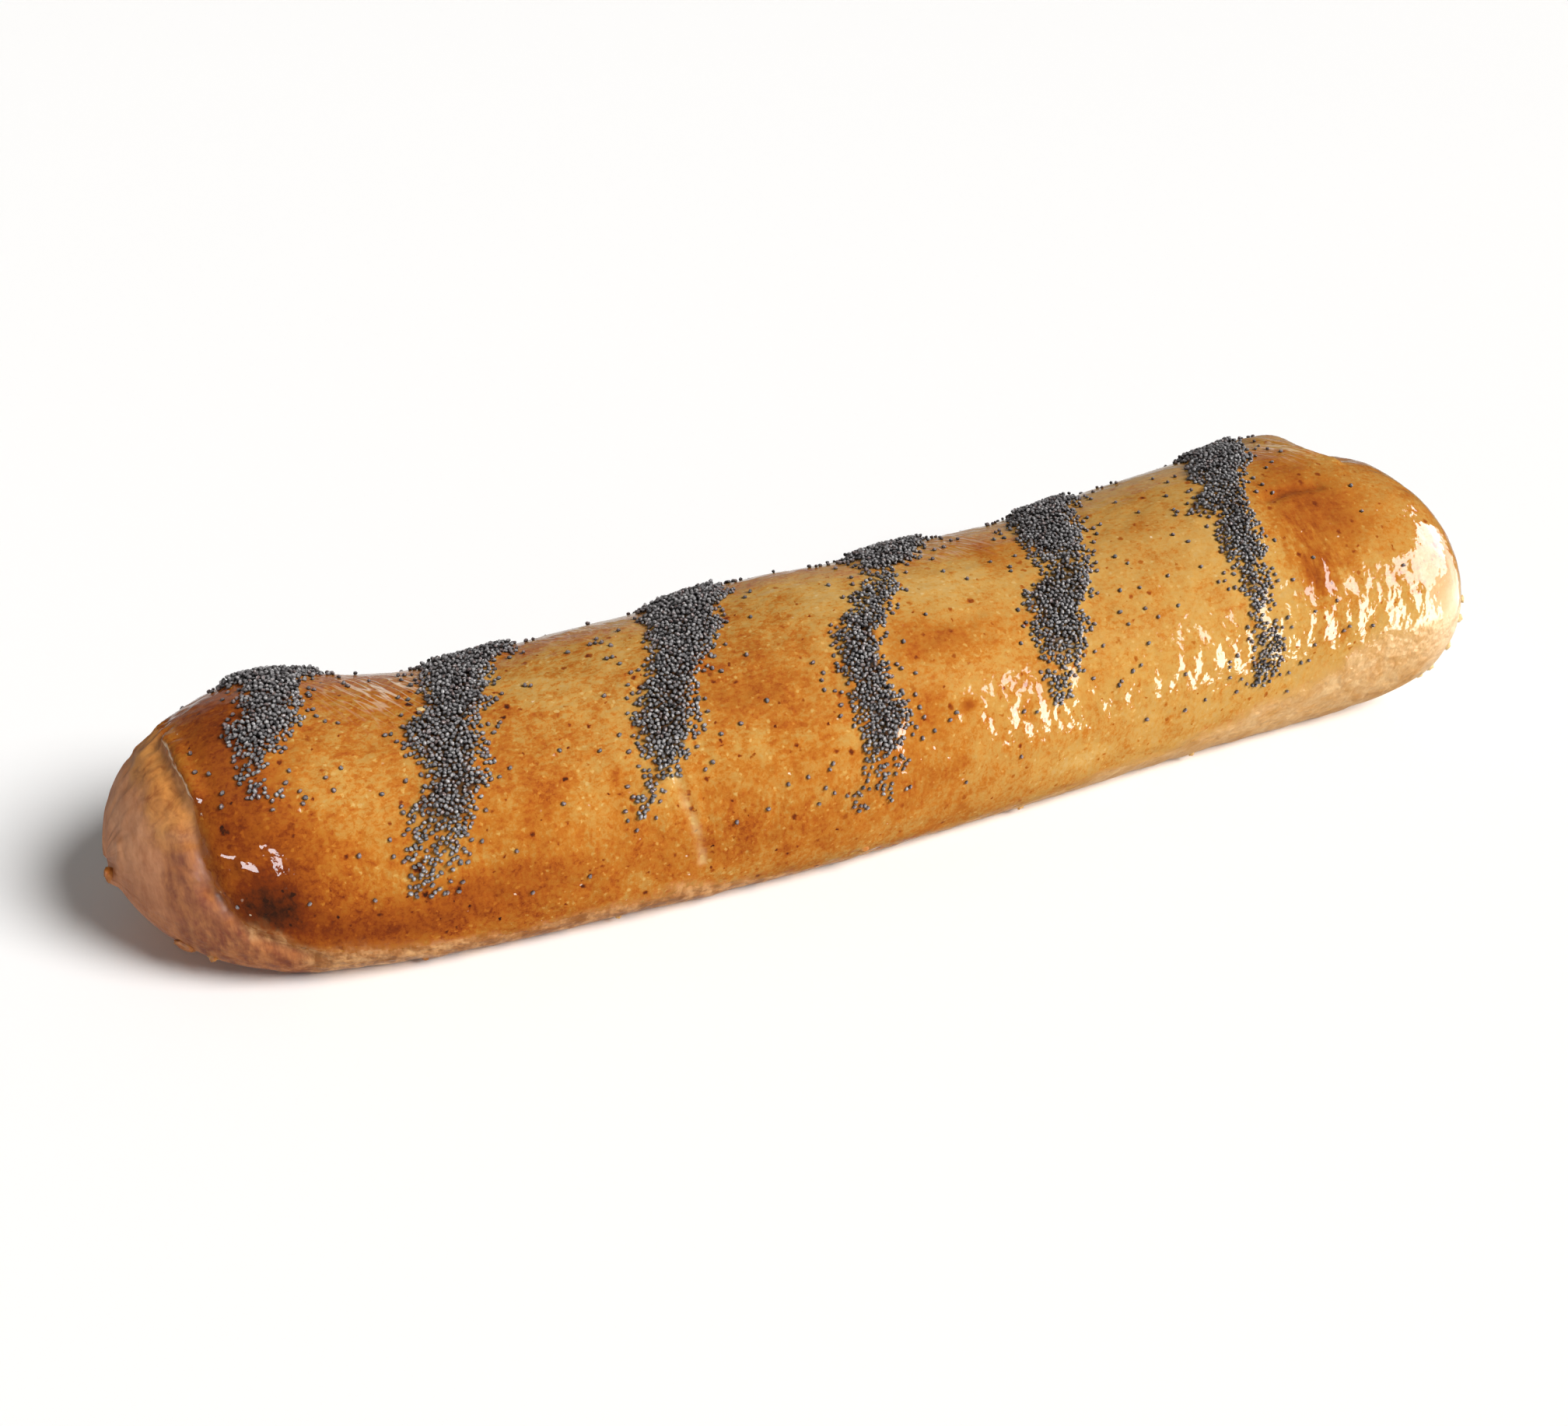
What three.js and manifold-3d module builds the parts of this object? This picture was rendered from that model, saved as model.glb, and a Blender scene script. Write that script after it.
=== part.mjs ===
// Poppy seed strudel: one baked roll of yeast dough, glazed and strewn with six bands of poppy seeds.
// It lies on its flat base. Millimetres, +Z up, the roll along X, its tucked and pinched end at -X.
//
// A place on the crust is an x and an angle: degrees round the roll from its crest, positive to the
// front (-Y). The roll is swept from named sizes, its folds and seed bands are relief in it, and the
// largest seeds are fused to it, so the whole is one closed solid.

import * as THREE from 'three';
import { MeshSurfaceSampler } from 'three/addons/math/MeshSurfaceSampler.js';
import { mergeVertices } from 'three/addons/utils/BufferGeometryUtils.js';
import Module from 'manifold-3d';

// ---- Driving dimensions ----------------------------------------------------------------------------

const HALF_LENGTH = 150;

// Size of the roll at stations along it: hand-rolled dough, thicker to the right, sagging at x = -90.
const STATIONS = [
  { x: -150, halfWidth: 31.0, height: 47.0, bend: 6.0 },
  { x: -120, halfWidth: 31.0, height: 48.5, bend: 3.0 },
  { x: -90, halfWidth: 31.0, height: 45.0, bend: -1.5 },
  { x: -45, halfWidth: 32.0, height: 47.2, bend: -3.5 },
  { x: -15, halfWidth: 33.0, height: 50.2, bend: -3.5 },
  { x: 15, halfWidth: 33.0, height: 49.5, bend: -2.5 },
  { x: 45, halfWidth: 33.5, height: 49.0, bend: -0.5 },
  { x: 90, halfWidth: 34.5, height: 53.0, bend: 2.0 },
  { x: 120, halfWidth: 36.5, height: 55.0, bend: 2.5 },
  { x: 150, halfWidth: 38.5, height: 58.0, bend: -4.0 },
];

// Cross section: where it is widest and how far the floor cuts it, both as shares of the height, then
// the powers of its rounded upper and lower halves (2 is a plain ellipse, more is squarer).
const WIDEST = 0.44;
const FLATTENED = 0.1;
const POWER_ABOVE = 2.15;
const POWER_BELOW = 2.6;

// Rounded ends: length, powers of the outline, and height of the tip as a share of the roll's height.
const TUCKED_END = { length: 42, rise: 2.33, nose: 1.74, tip: 0.42 };
const FAR_END = { length: 51, rise: 2.72, nose: 2.72, tip: 0.42 };

// Swellings (+) and hollows (-) of the crust.
const SWELLINGS = [
  { x: -143, angle: -34, radius: 8, height: 0.8 }, // shoulder of the tucked end
  { x: -149.4, angle: 110, radius: 1.7, height: 1.5 }, // pinched nub
  { x: -139, angle: 62, radius: 9, height: -0.9 }, // flat of the tucked end
  { x: 125, angle: -38, radius: 8, height: 2.2 }, // flap of dough lapped over at the back
  { x: 106, angle: 32, radius: 12, height: -1.5 }, // browned hollow
  { x: 141, angle: 95, radius: 12, height: 1.6 }, // cheek of the far end
];

// Ridges (+) and creases (-), each along a line of [x, angle] places.
const CREASES = [
  { line: [[-137, -70], [-134.5, -8], [-133, 17], [-131.5, 34]], width: 1.4, height: 0.9 },
  { line: [[-139, -70], [-136, 0], [-134, 40], [-134, 62], [-133, 82]], width: 2.2, height: -1.0 },
  { line: [[-133, 82], [-129, 95], [-118, 109]], width: 1.8, height: -0.7 },
  { line: [[114, -56], [117, -32], [121, -12], [126, 0]], width: 1.6, height: 0.8 },
  { line: [[134, -66], [132, -38], [131, -12]], width: 5, height: -2.4 },
  { line: [[101, 15], [108, 13], [115, 13]], width: 1.4, height: -0.6 },
];

// Slow waves of the whole skin. Each runs along the roll (mm) and round it (degrees). They die out
// over the last degrees above the floor, where the rim on which the roll rests wanders in and out.
const WAVES = [
  { along: 13, round: 31, shift: 0, height: 0.22 },
  { along: 7.3, round: -23, shift: 2, height: 0.22 },
];
const WAVES_CALM = 40;
const RIM = { wander: 0.7, along: 5, degrees: 25 };

// The six seed bands, left to right. Each station is [angle, middle x, half width, how closely strewn].
const SEED_BANDS = [
  [
    [-75, -108, 2, 0.4], [-50, -111, 6, 1], [-30, -114, 8.5, 1], [-15, -113.5, 5, 1], [0, -115.5, 4, 1],
    [9, -117.5, 6, 1], [20, -119.5, 2.8, 1], [32, -121, 2.2, 0.6], [44, -119.5, 2.4, 0.5],
  ],
  [
    [-85, -70, 3, 0.4], [-60, -72, 7, 1], [-30, -75.5, 8.5, 1], [-10, -79.5, 6.5, 1], [0, -81, 5.5, 1],
    [18, -86, 6, 1], [40, -87, 5, 1], [52, -90.5, 6, 0.8], [62, -92, 4.5, 0.5], [88, -95.5, 1.5, 0.2],
  ],
  [
    [-80, -22, 3, 0.4], [-55, -26, 7, 1], [-30, -30, 8, 1], [-15, -31.5, 8.3, 1], [0, -35.5, 7.3, 1],
    [15, -41, 5.5, 1], [30, -45, 5.5, 1], [42, -47, 4.8, 1], [54, -49.5, 2.6, 0.8], [76, -57, 1, 0.5],
  ],
  [
    [-80, 28, 3, 0.4], [-50, 22, 8, 1], [-25, 16.5, 9.5, 1], [-12, 13.5, 6, 1], [-3, 9, 2.2, 0.5],
    [10, 3, 4.2, 0.8], [25, -3.5, 4.5, 1], [40, -6, 4, 1], [60, -4.5, 5.5, 1], [73, -6, 4, 1],
    [84, -7.5, 2.5, 0.3],
  ],
  [
    [-85, 70, 3, 0.4], [-60, 66, 7, 1], [-30, 59.5, 8.5, 1], [-15, 54, 7.5, 0.9], [0, 51, 6.5, 1],
    [13, 49, 4.5, 0.7], [25, 43, 7, 1], [42, 39.8, 5.2, 1], [55, 37.5, 4, 0.6], [72, 35, 2, 0.3],
  ],
  [
    [-75, 114, 3, 0.4], [-50, 111, 7, 1], [-25, 105.5, 7.5, 1], [-10, 100.5, 8, 1], [0, 96, 5, 0.9],
    [9, 90, 7, 0.8], [17, 91, 3.4, 0.9], [30, 88.7, 4.7, 1], [45, 87, 3, 0.9], [60, 86.2, 1.6, 0.6],
    [78, 87.2, 3.4, 0.7], [92, 87, 1.8, 0.3],
  ],
];
const BANK_HEIGHT = 0.9; // heaped seeds stand this far above the crust
const BANK_EDGE = 1.4; // the heap slopes away over this much at its sides
const RAGGED = { depth: 2.4, along: 4, degrees: 7 }; // how its edge wanders in and out

// Fused seeds: the largest, half sunk in the heap, kept clear of each other.
const SEED_SIZE = { long: 1.7, wide: 1.4, thick: 1.3 };
const SEED_SPREAD = 0.15; // share by which one seed differs from the next
const SEED_LIFT = 0.15; // share of its thickness by which a seed's middle lies above the heap
const SEED_COUNT = 152;
const SEED_SPACING = 3.4;
const STRAY_REACH = 5; // seeds stray this far from a band
const STRAY_SHARE = 0.15; // as thickly as this
const RANDOM_SEED = 40217;

// Mesh: rings along the roll, which lean with the seed bands, and columns round it.
const RING_LEAN = 14;
const LEAN_FADE = 60; // the lean dies out over this length at each end
const RING_STEP = 3.1;
const TUCKED_RINGS = 13;
const FAR_RINGS = 14;
const CROWDING = 1.9; // power by which the rings crowd together towards the tips
const COLUMNS = 30;

// The middle of the finished roll's box, which is moved to the origin.
const BOX_MIDDLE = { x: -0.17, y: 0.78 };

// ---- Small helpers -----------------------------------------------------------------------------------

const rad = THREE.MathUtils.degToRad;
const { clamp, lerp, smoothstep } = THREE.MathUtils;

// Smooth value of one named column of the stations at x.
function station(x, name) {
  const last = STATIONS.length - 1;
  let i = 0;
  while (i < last - 1 && x > STATIONS[i + 1].x) i++;
  const slope = (k) => {
    const before = STATIONS[Math.max(k - 1, 0)];
    const after = STATIONS[Math.min(k + 1, last)];
    return (after[name] - before[name]) / (after.x - before.x);
  };
  const a = STATIONS[i];
  const b = STATIONS[i + 1];
  const step = b.x - a.x;
  const t = (x - a.x) / step;
  const t2 = t * t;
  const t3 = t2 * t;
  return (2 * t3 - 3 * t2 + 1) * a[name] + (t3 - 2 * t2 + t) * step * slope(i)
    + (3 * t2 - 2 * t3) * b[name] + (t3 - t2) * step * slope(i + 1);
}

// Smooth random field between 0 and 1, the same on every run.
function noise(u, v) {
  const corner = (i, j) => {
    const s = Math.sin(i * 127.1 + j * 311.7) * 43758.5453;
    return s - Math.floor(s);
  };
  const i = Math.floor(u);
  const j = Math.floor(v);
  const s = smoothstep(u - i, 0, 1);
  const t = smoothstep(v - j, 0, 1);
  return lerp(lerp(corner(i, j), corner(i + 1, j), s), lerp(corner(i, j + 1), corner(i + 1, j + 1), s), t);
}

// Random numbers from 0 to 1, the same on every run: a linear congruential row (Park and Miller).
function randomNumbers(seed) {
  const modulus = 2147483647;
  const multiplier = 48271;
  let state = seed;
  return () => {
    state = (state * multiplier) % modulus;
    return state / modulus;
  };
}

// ---- The bare roll -----------------------------------------------------------------------------------

const BASE_ANGLE = 180 - THREE.MathUtils.radToDeg(
  Math.acos((WIDEST / (WIDEST + FLATTENED)) ** (POWER_BELOW / 2)));

// How much of the full section is left at x: 1 along the roll, 0 at either tip.
function fullness(x) {
  const draw = (end, inside) => {
    const share = clamp((end.length - inside) / end.length, 0, 1);
    return (1 - share ** end.rise) ** (1 / end.nose);
  };
  return draw(TUCKED_END, x + HALF_LENGTH) * draw(FAR_END, HALF_LENGTH - x);
}

const power = (value, n) => Math.sign(value) * Math.abs(value) ** (2 / n);

// Point of the smooth crust.
function skin(x, angle) {
  const height = station(x, 'height');
  const tip = (x < 0 ? TUCKED_END.tip : FAR_END.tip) * height;
  const full = fullness(x);
  const up = Math.cos(rad(angle));
  const shape = up > 0 ? POWER_ABOVE : POWER_BELOW;
  const reach = up > 0 ? 1 - WIDEST : WIDEST + FLATTENED;
  const level = Math.max(0, WIDEST + reach * power(up, shape));
  const across = power(Math.sin(rad(angle)), shape);
  return new THREE.Vector3(
    x,
    station(x, 'bend') - station(x, 'halfWidth') * full * across,
    height * full * level + tip * (1 - full));
}

const NORMAL_STEP = { x: 0.4, angle: 0.6 };

// Direction out of the crust at a place.
function outward(x, angle) {
  const edge = HALF_LENGTH - 0.02;
  if (Math.abs(x) > edge) return new THREE.Vector3(Math.sign(x), 0, 0);
  const behind = skin(Math.max(x - NORMAL_STEP.x, -edge), angle);
  const ahead = skin(Math.min(x + NORMAL_STEP.x, edge), angle);
  const back = skin(x, angle - NORMAL_STEP.angle);
  const front = skin(x, angle + NORMAL_STEP.angle);
  return front.sub(back).cross(ahead.sub(behind)).normalize();
}

// ---- Relief ------------------------------------------------------------------------------------------

const LINE_STEPS = 8;

// A crease's line, laid on the skin in short steps.
function layLine(places) {
  const laid = [];
  for (let k = 0; k + 1 < places.length; k++) {
    for (let i = 0; i < LINE_STEPS; i++) {
      const t = i / LINE_STEPS;
      laid.push(skin(lerp(places[k][0], places[k + 1][0], t), lerp(places[k][1], places[k + 1][1], t)));
    }
  }
  laid.push(skin(...places.at(-1)));
  return laid;
}

const swellings = SWELLINGS.map((swelling) => ({ ...swelling, middle: skin(swelling.x, swelling.angle) }));
const creases = CREASES.map((crease) => ({ ...crease, laid: layLine(crease.line) }));

function foldRelief(point) {
  let sum = 0;
  for (const { middle, radius, height } of swellings) {
    sum += height * Math.exp(-((point.distanceTo(middle) / radius) ** 2));
  }
  for (const { laid, width, height } of creases) {
    const distance = Math.min(...laid.map((p) => p.distanceTo(point)));
    sum += height * Math.exp(-((distance / width) ** 2));
  }
  return sum;
}

// Value of a band's stations at an angle, or null beyond its ends.
function bandAt(band, angle) {
  const last = band.length - 1;
  if (angle < band[0][0] || angle > band[last][0]) return null;
  let i = 0;
  while (angle > band[i + 1][0]) i++;
  const t = smoothstep(angle, band[i][0], band[i + 1][0]);
  const [middle, half, strewn] = [1, 2, 3].map((k) => lerp(band[i][k], band[i + 1][k], t));
  return { middle, half, strewn };
}

// How closely seeds cover the crust: 1 in the heart of a band, 0 clear of all of them.
function seedCover(x, angle) {
  let cover = 0;
  for (const band of SEED_BANDS) {
    const here = bandAt(band, angle);
    if (!here) continue;
    const wander = RAGGED.depth * (noise(x / RAGGED.along, angle / RAGGED.degrees) - 0.5);
    const inside = here.half + wander - Math.abs(x - here.middle);
    cover = Math.max(cover, here.strewn * smoothstep(inside, -BANK_EDGE / 2, BANK_EDGE / 2));
  }
  return cover;
}

// How thickly the fused seeds are strewn: on the bands, with a few strays beside them.
function strewing(x, angle) {
  const beside = Math.max(seedCover(x - STRAY_REACH, angle), seedCover(x + STRAY_REACH, angle));
  return Math.max(seedCover(x, angle), STRAY_SHARE * beside);
}

function waves(x, angle) {
  const calm = smoothstep(BASE_ANGLE - Math.abs(angle), 0, WAVES_CALM);
  const swell = ({ along, round, shift, height }) => height * Math.sin(x / along + angle / round + shift);
  return calm * WAVES.reduce((sum, wave) => sum + swell(wave), 0);
}

// Point of the finished crust, with its relief.
function crust(x, angle) {
  const point = skin(x, angle);
  const heap = BANK_HEIGHT * seedCover(x, angle);
  const relief = foldRelief(point) + waves(x, angle) + heap;
  const rim = smoothstep(Math.abs(angle), BASE_ANGLE - RIM.degrees, BASE_ANGLE);
  const side = Math.sign(angle);
  const moved = point.clone().addScaledVector(outward(x, angle), relief * (1 - rim));
  moved.y -= side * rim * fullness(x) * RIM.wander * (noise(x / RIM.along, side) - 0.5);
  moved.z = Math.max(moved.z, 0);
  return moved;
}

// ---- Solids --------------------------------------------------------------------------------------------

// Places of the rings, closer together towards the tips.
function ringPlaces() {
  const places = [];
  for (let i = 1; i < TUCKED_RINGS; i++) {
    places.push(-HALF_LENGTH + TUCKED_END.length * (i / TUCKED_RINGS) ** CROWDING);
  }
  const from = -HALF_LENGTH + TUCKED_END.length;
  const to = HALF_LENGTH - FAR_END.length;
  const rings = Math.round((to - from) / RING_STEP);
  for (let i = 0; i <= rings; i++) places.push(lerp(from, to, i / rings));
  for (let i = FAR_RINGS - 1; i > 0; i--) {
    places.push(HALF_LENGTH - FAR_END.length * (i / FAR_RINGS) ** CROWDING);
  }
  return places;
}

function rollGeometry() {
  const places = ringPlaces();
  const points = [];
  const strewn = [];
  for (const place of places) {
    const lean = RING_LEAN * smoothstep(HALF_LENGTH - Math.abs(place), 0, LEAN_FADE);
    for (let c = 0; c <= COLUMNS; c++) {
      const angle = lerp(-BASE_ANGLE, BASE_ANGLE, c / COLUMNS);
      const x = place - lean * Math.sin(rad(angle));
      points.push(crust(x, angle));
      strewn.push(strewing(x, angle));
    }
  }
  const perRing = COLUMNS + 1;
  const faces = [];
  for (let r = 0; r + 1 < places.length; r++) {
    for (let c = 0; c < perRing; c++) {
      const next = (c + 1) % perRing;
      const here = r * perRing;
      const ahead = here + perRing;
      faces.push(here + c, here + next, ahead + next, here + c, ahead + next, ahead + c);
    }
  }
  const leftTip = points.push(crust(-HALF_LENGTH, 0)) - 1;
  const rightTip = points.push(crust(HALF_LENGTH, 0)) - 1;
  strewn.push(0, 0);
  const lastRing = (places.length - 1) * perRing;
  for (let c = 0; c < perRing; c++) {
    const next = (c + 1) % perRing;
    faces.push(leftTip, next, c);
    faces.push(rightTip, lastRing + c, lastRing + next);
  }
  const geometry = new THREE.BufferGeometry().setFromPoints(points);
  geometry.setAttribute('strewn', new THREE.Float32BufferAttribute(strewn, 1));
  geometry.setIndex(faces);
  return geometry;
}

// Seeds laid by seeded chance on the faces of the roll, none of them touching.
function seedPlaces(roll, random) {
  const sampler = new MeshSurfaceSampler(new THREE.Mesh(roll))
    .setWeightAttribute('strewn').setRandomGenerator(random).build();
  const places = [];
  while (places.length < SEED_COUNT) {
    const place = { point: new THREE.Vector3(), outward: new THREE.Vector3() };
    sampler.sample(place.point, place.outward);
    if (places.some(({ point }) => point.distanceTo(place.point) < SEED_SPACING)) continue;
    places.push(place);
  }
  return places;
}

function seedGeometry(place, random) {
  const grown = 1 + SEED_SPREAD * (random() - 0.5);
  const seed = new THREE.IcosahedronGeometry(0.5, 0);
  seed.scale(SEED_SIZE.long * grown, SEED_SIZE.wide * grown, SEED_SIZE.thick * grown);
  seed.rotateZ(random() * Math.PI);
  seed.applyQuaternion(new THREE.Quaternion().setFromUnitVectors(new THREE.Vector3(0, 0, 1), place.outward));
  const middle = place.point.clone().addScaledVector(place.outward, SEED_LIFT * SEED_SIZE.thick);
  return seed.translate(middle.x, middle.y, middle.z);
}

const wasm = await Module();
wasm.setup();

function solidOf(geometry) {
  const bare = new THREE.BufferGeometry().setAttribute('position', geometry.getAttribute('position'));
  const merged = mergeVertices(bare.setIndex(geometry.index), 1e-5);
  return new wasm.Manifold(new wasm.Mesh({
    numProp: 3,
    vertProperties: merged.attributes.position.array,
    triVerts: new Uint32Array(merged.index.array),
  }));
}

function geometryOf(solid) {
  const { vertProperties, triVerts } = solid.getMesh();
  const geometry = new THREE.BufferGeometry();
  geometry.setAttribute('position', new THREE.BufferAttribute(new Float32Array(vertProperties), 3));
  geometry.setIndex(new THREE.BufferAttribute(new Uint32Array(triVerts), 1));
  return geometry;
}

function strudelGeometry() {
  const random = randomNumbers(RANDOM_SEED);
  const roll = rollGeometry();
  let solid = solidOf(roll);
  for (const place of seedPlaces(roll, random)) solid = solid.add(solidOf(seedGeometry(place, random)));
  const geometry = geometryOf(solid);
  geometry.translate(-BOX_MIDDLE.x, -BOX_MIDDLE.y, 0);
  geometry.computeVertexNormals();
  return geometry;
}

// ---- The model -----------------------------------------------------------------------------------------

const bakedCrust = new THREE.MeshStandardMaterial({ color: 0xc9802f, roughness: 0.35, metalness: 0 });

const strudel = new THREE.Mesh(strudelGeometry(), bakedCrust);
strudel.name = 'strudel';

const model = new THREE.Group();
model.add(strudel);

export default model;
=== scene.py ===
"""Looks of the poppy seed strudel: its glazed and browned crust, the poppy seeds heaped on it and strayed
over it, and the crumbs at its foot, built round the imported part.

A place on the crust is an x in mm along the roll and an angle: degrees round the roll from its crest,
positive to the front (-Y). Shapes are worked out in mm and become metres when they go into a mesh.
"""

import math

import bpy
import numpy as np
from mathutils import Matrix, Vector


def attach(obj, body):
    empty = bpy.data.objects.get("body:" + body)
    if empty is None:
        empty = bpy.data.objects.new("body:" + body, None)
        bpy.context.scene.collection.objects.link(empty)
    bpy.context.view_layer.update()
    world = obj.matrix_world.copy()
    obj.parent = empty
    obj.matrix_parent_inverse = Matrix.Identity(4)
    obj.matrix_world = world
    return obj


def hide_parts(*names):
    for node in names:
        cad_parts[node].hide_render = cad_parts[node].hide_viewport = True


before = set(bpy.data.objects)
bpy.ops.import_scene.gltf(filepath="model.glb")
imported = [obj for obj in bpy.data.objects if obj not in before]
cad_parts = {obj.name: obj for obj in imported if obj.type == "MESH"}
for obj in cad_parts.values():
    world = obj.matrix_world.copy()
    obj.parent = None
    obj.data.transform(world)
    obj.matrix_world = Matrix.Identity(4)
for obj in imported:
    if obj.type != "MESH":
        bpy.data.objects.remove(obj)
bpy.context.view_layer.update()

MM = 0.001

# ---- Driving dimensions of the roll, as in the part's source ----

HALF_LENGTH = 150.0
BOX_MIDDLE = np.array([-0.17, 0.78, 0.0])  # middle of the roll's box, which lies at the frame's origin

# The roll at stations along it: x, half width, height and sideways bend
STATIONS = np.array([
    (-150, 31, 47, 6), (-120, 31, 48.5, 3),
    (-90, 31, 45, -1.5), (-45, 32, 47.2, -3.5),
    (-15, 33, 50.2, -3.5), (15, 33, 49.5, -2.5),
    (45, 33.5, 49, -0.5), (90, 34.5, 53, 2),
    (120, 36.5, 55, 2.5), (150, 38.5, 58, -4),
])
HALF_WIDTH, HEIGHT, BEND = 1, 2, 3  # columns of the stations

# Cross section: where it is widest and how far the floor cuts it, as shares of the height, powers of its
# upper and lower halves, and the angle at which the floor cuts it
WIDEST = 0.44
FLATTENED = 0.1
POWER_ABOVE = 2.15
POWER_BELOW = 2.6
BASE_ANGLE = 180 - math.degrees(math.acos((WIDEST / (WIDEST + FLATTENED)) ** (POWER_BELOW / 2)))

# Rounded ends: length, powers of the outline, and height of the tips as a share of the roll's height
TUCKED_END = {"length": 42, "rise": 2.33, "nose": 1.74}
FAR_END = {"length": 51, "rise": 2.72, "nose": 2.72}
TIP_HEIGHT = 0.42

# Swellings (+) and hollows (-) of the crust: x, angle, radius, height
SWELLINGS = [
    (-143, -34, 8, 0.8), (-149.4, 110, 1.7, 1.5), (-139, 62, 9, -0.9),
    (125, -38, 8, 2.2), (106, 32, 12, -1.5), (141, 95, 12, 1.6),
]

# Ridges (+) and creases (-): line of (x, angle) places, width, height
CREASES = [
    ([(-137, -70), (-134.5, -8), (-133, 17), (-131.5, 34)], 1.4, 0.9),
    ([(-139, -70), (-136, 0), (-134, 40), (-134, 62), (-133, 82)], 2.2, -1),
    ([(-133, 82), (-129, 95), (-118, 109)], 1.8, -0.7),
    ([(114, -56), (117, -32), (121, -12), (126, 0)], 1.6, 0.8),
    ([(134, -66), (132, -38), (131, -12)], 5, -2.4),
    ([(101, 15), (108, 13), (115, 13)], 1.4, -0.6),
]

# Slow waves of the whole skin: mm along, degrees round, shift, height. They die out over the last degrees
# above the floor, where the rim on which the roll rests wanders in and out.
WAVES = [(13, 31, 0, 0.22), (7.3, -23, 2, 0.22)]
WAVES_CALM = 40
RIM = {"wander": 0.7, "along": 5, "degrees": 25}

# The six seed bands, left to right, at stations round the roll: angle, middle x, half width, how
# closely strewn
SEED_BANDS = [
    [(-75, -108, 2, 0.4), (-50, -111, 6, 1), (-30, -114, 8.5, 1), (-15, -113.5, 5, 1), (0, -115.5, 4, 1),
     (9, -117.5, 6, 1), (20, -119.5, 2.8, 1), (32, -121, 2.2, 0.6), (44, -119.5, 2.4, 0.5)],
    [(-85, -70, 3, 0.4), (-60, -72, 7, 1), (-30, -75.5, 8.5, 1), (-10, -79.5, 6.5, 1), (0, -81, 5.5, 1),
     (18, -86, 6, 1), (40, -87, 5, 1), (52, -90.5, 6, 0.8), (62, -92, 4.5, 0.5), (88, -95.5, 1.5, 0.2)],
    [(-80, -22, 3, 0.4), (-55, -26, 7, 1), (-30, -30, 8, 1), (-15, -31.5, 8.3, 1), (0, -35.5, 7.3, 1),
     (15, -41, 5.5, 1), (30, -45, 5.5, 1), (42, -47, 4.8, 1), (54, -49.5, 2.6, 0.8), (76, -57, 1, 0.5)],
    [(-80, 28, 3, 0.4), (-50, 22, 8, 1), (-25, 16.5, 9.5, 1), (-12, 13.5, 6, 1), (-3, 9, 2.2, 0.5),
     (10, 3, 4.2, 0.8), (25, -3.5, 4.5, 1), (40, -6, 4, 1), (60, -4.5, 5.5, 1), (68, -5.5, 4.5, 1),
     (76, -6, 4, 0.3), (92, -7, 4.5, 0.04)],
    [(-85, 70, 3, 0.4), (-60, 66, 7, 1), (-30, 59.5, 8.5, 1), (-15, 54, 7.5, 0.9), (0, 51, 6.5, 1),
     (13, 49, 4.5, 0.7), (25, 43, 7, 1), (42, 39.8, 5.2, 1), (55, 37.5, 4, 0.6), (72, 35, 2, 0.3)],
    [(-75, 114, 3, 0.4), (-50, 111, 7, 1), (-25, 105.5, 7.5, 1), (-10, 100.5, 8, 1), (0, 96, 5, 0.9),
     (9, 90, 7, 0.8), (17, 91, 3.4, 0.9), (30, 88.7, 4.7, 1), (45, 87, 3, 0.9), (60, 86.2, 1.6, 0.6),
     (78, 87.2, 3.4, 0.7), (92, 87, 1.8, 0.3)],
]
BANK_EDGE = 1.4  # a band's relief slopes away over this much at its sides
RAGGED = {"depth": 2.4, "along": 4, "degrees": 7}  # how its edge wanders in and out

# ---- Driving dimensions of what only the looks have ----

RINGS = 402  # of the crust's mesh, along the roll
ARC_COLUMNS = 226  # round the crust, from rim to rim
BASE_COLUMNS = 14  # across the flat base
FINE_RIM = {"wander": 0.5, "along": 1.7}  # how the rim wanders in small steps as well

SEED_BED = 0.35  # the crust stands this much higher under the heaped seeds, which lie on it
SEED = (1.02, 0.94, 0.88)  # a poppy seed: long, wide and thick

# ---- Small helpers ----


def smoothstep(value, low, high):
    t = np.clip((value - low) / (high - low), 0.0, 1.0)
    return t * t * (3.0 - 2.0 * t)


def noise(u, v):
    """Smooth random field between 0 and 1, the same on every run."""
    def corner(i, j):
        s = np.sin(i * 127.1 + j * 311.7) * 43758.5453  # large, so that its fraction is as good as random
        return s - np.floor(s)

    i, j = np.floor(u), np.floor(v)
    s, t = smoothstep(u - i, 0, 1), smoothstep(v - j, 0, 1)
    near = corner(i, j) + (corner(i + 1, j) - corner(i, j)) * s
    far = corner(i, j + 1) + (corner(i + 1, j + 1) - corner(i, j + 1)) * s
    return near + (far - near) * t


def rough_noise(u, v, octaves=3):
    """Noise of several sizes between about -0.5 and 0.5, each half as large and as high as the last."""
    total, height = 0.0, 1.0
    for k in range(octaves):
        total = total + height * (noise(u * 2**k + 17.3 * k, v * 2**k + 9.1 * k) - 0.5)
        height /= 2
    return total


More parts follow.
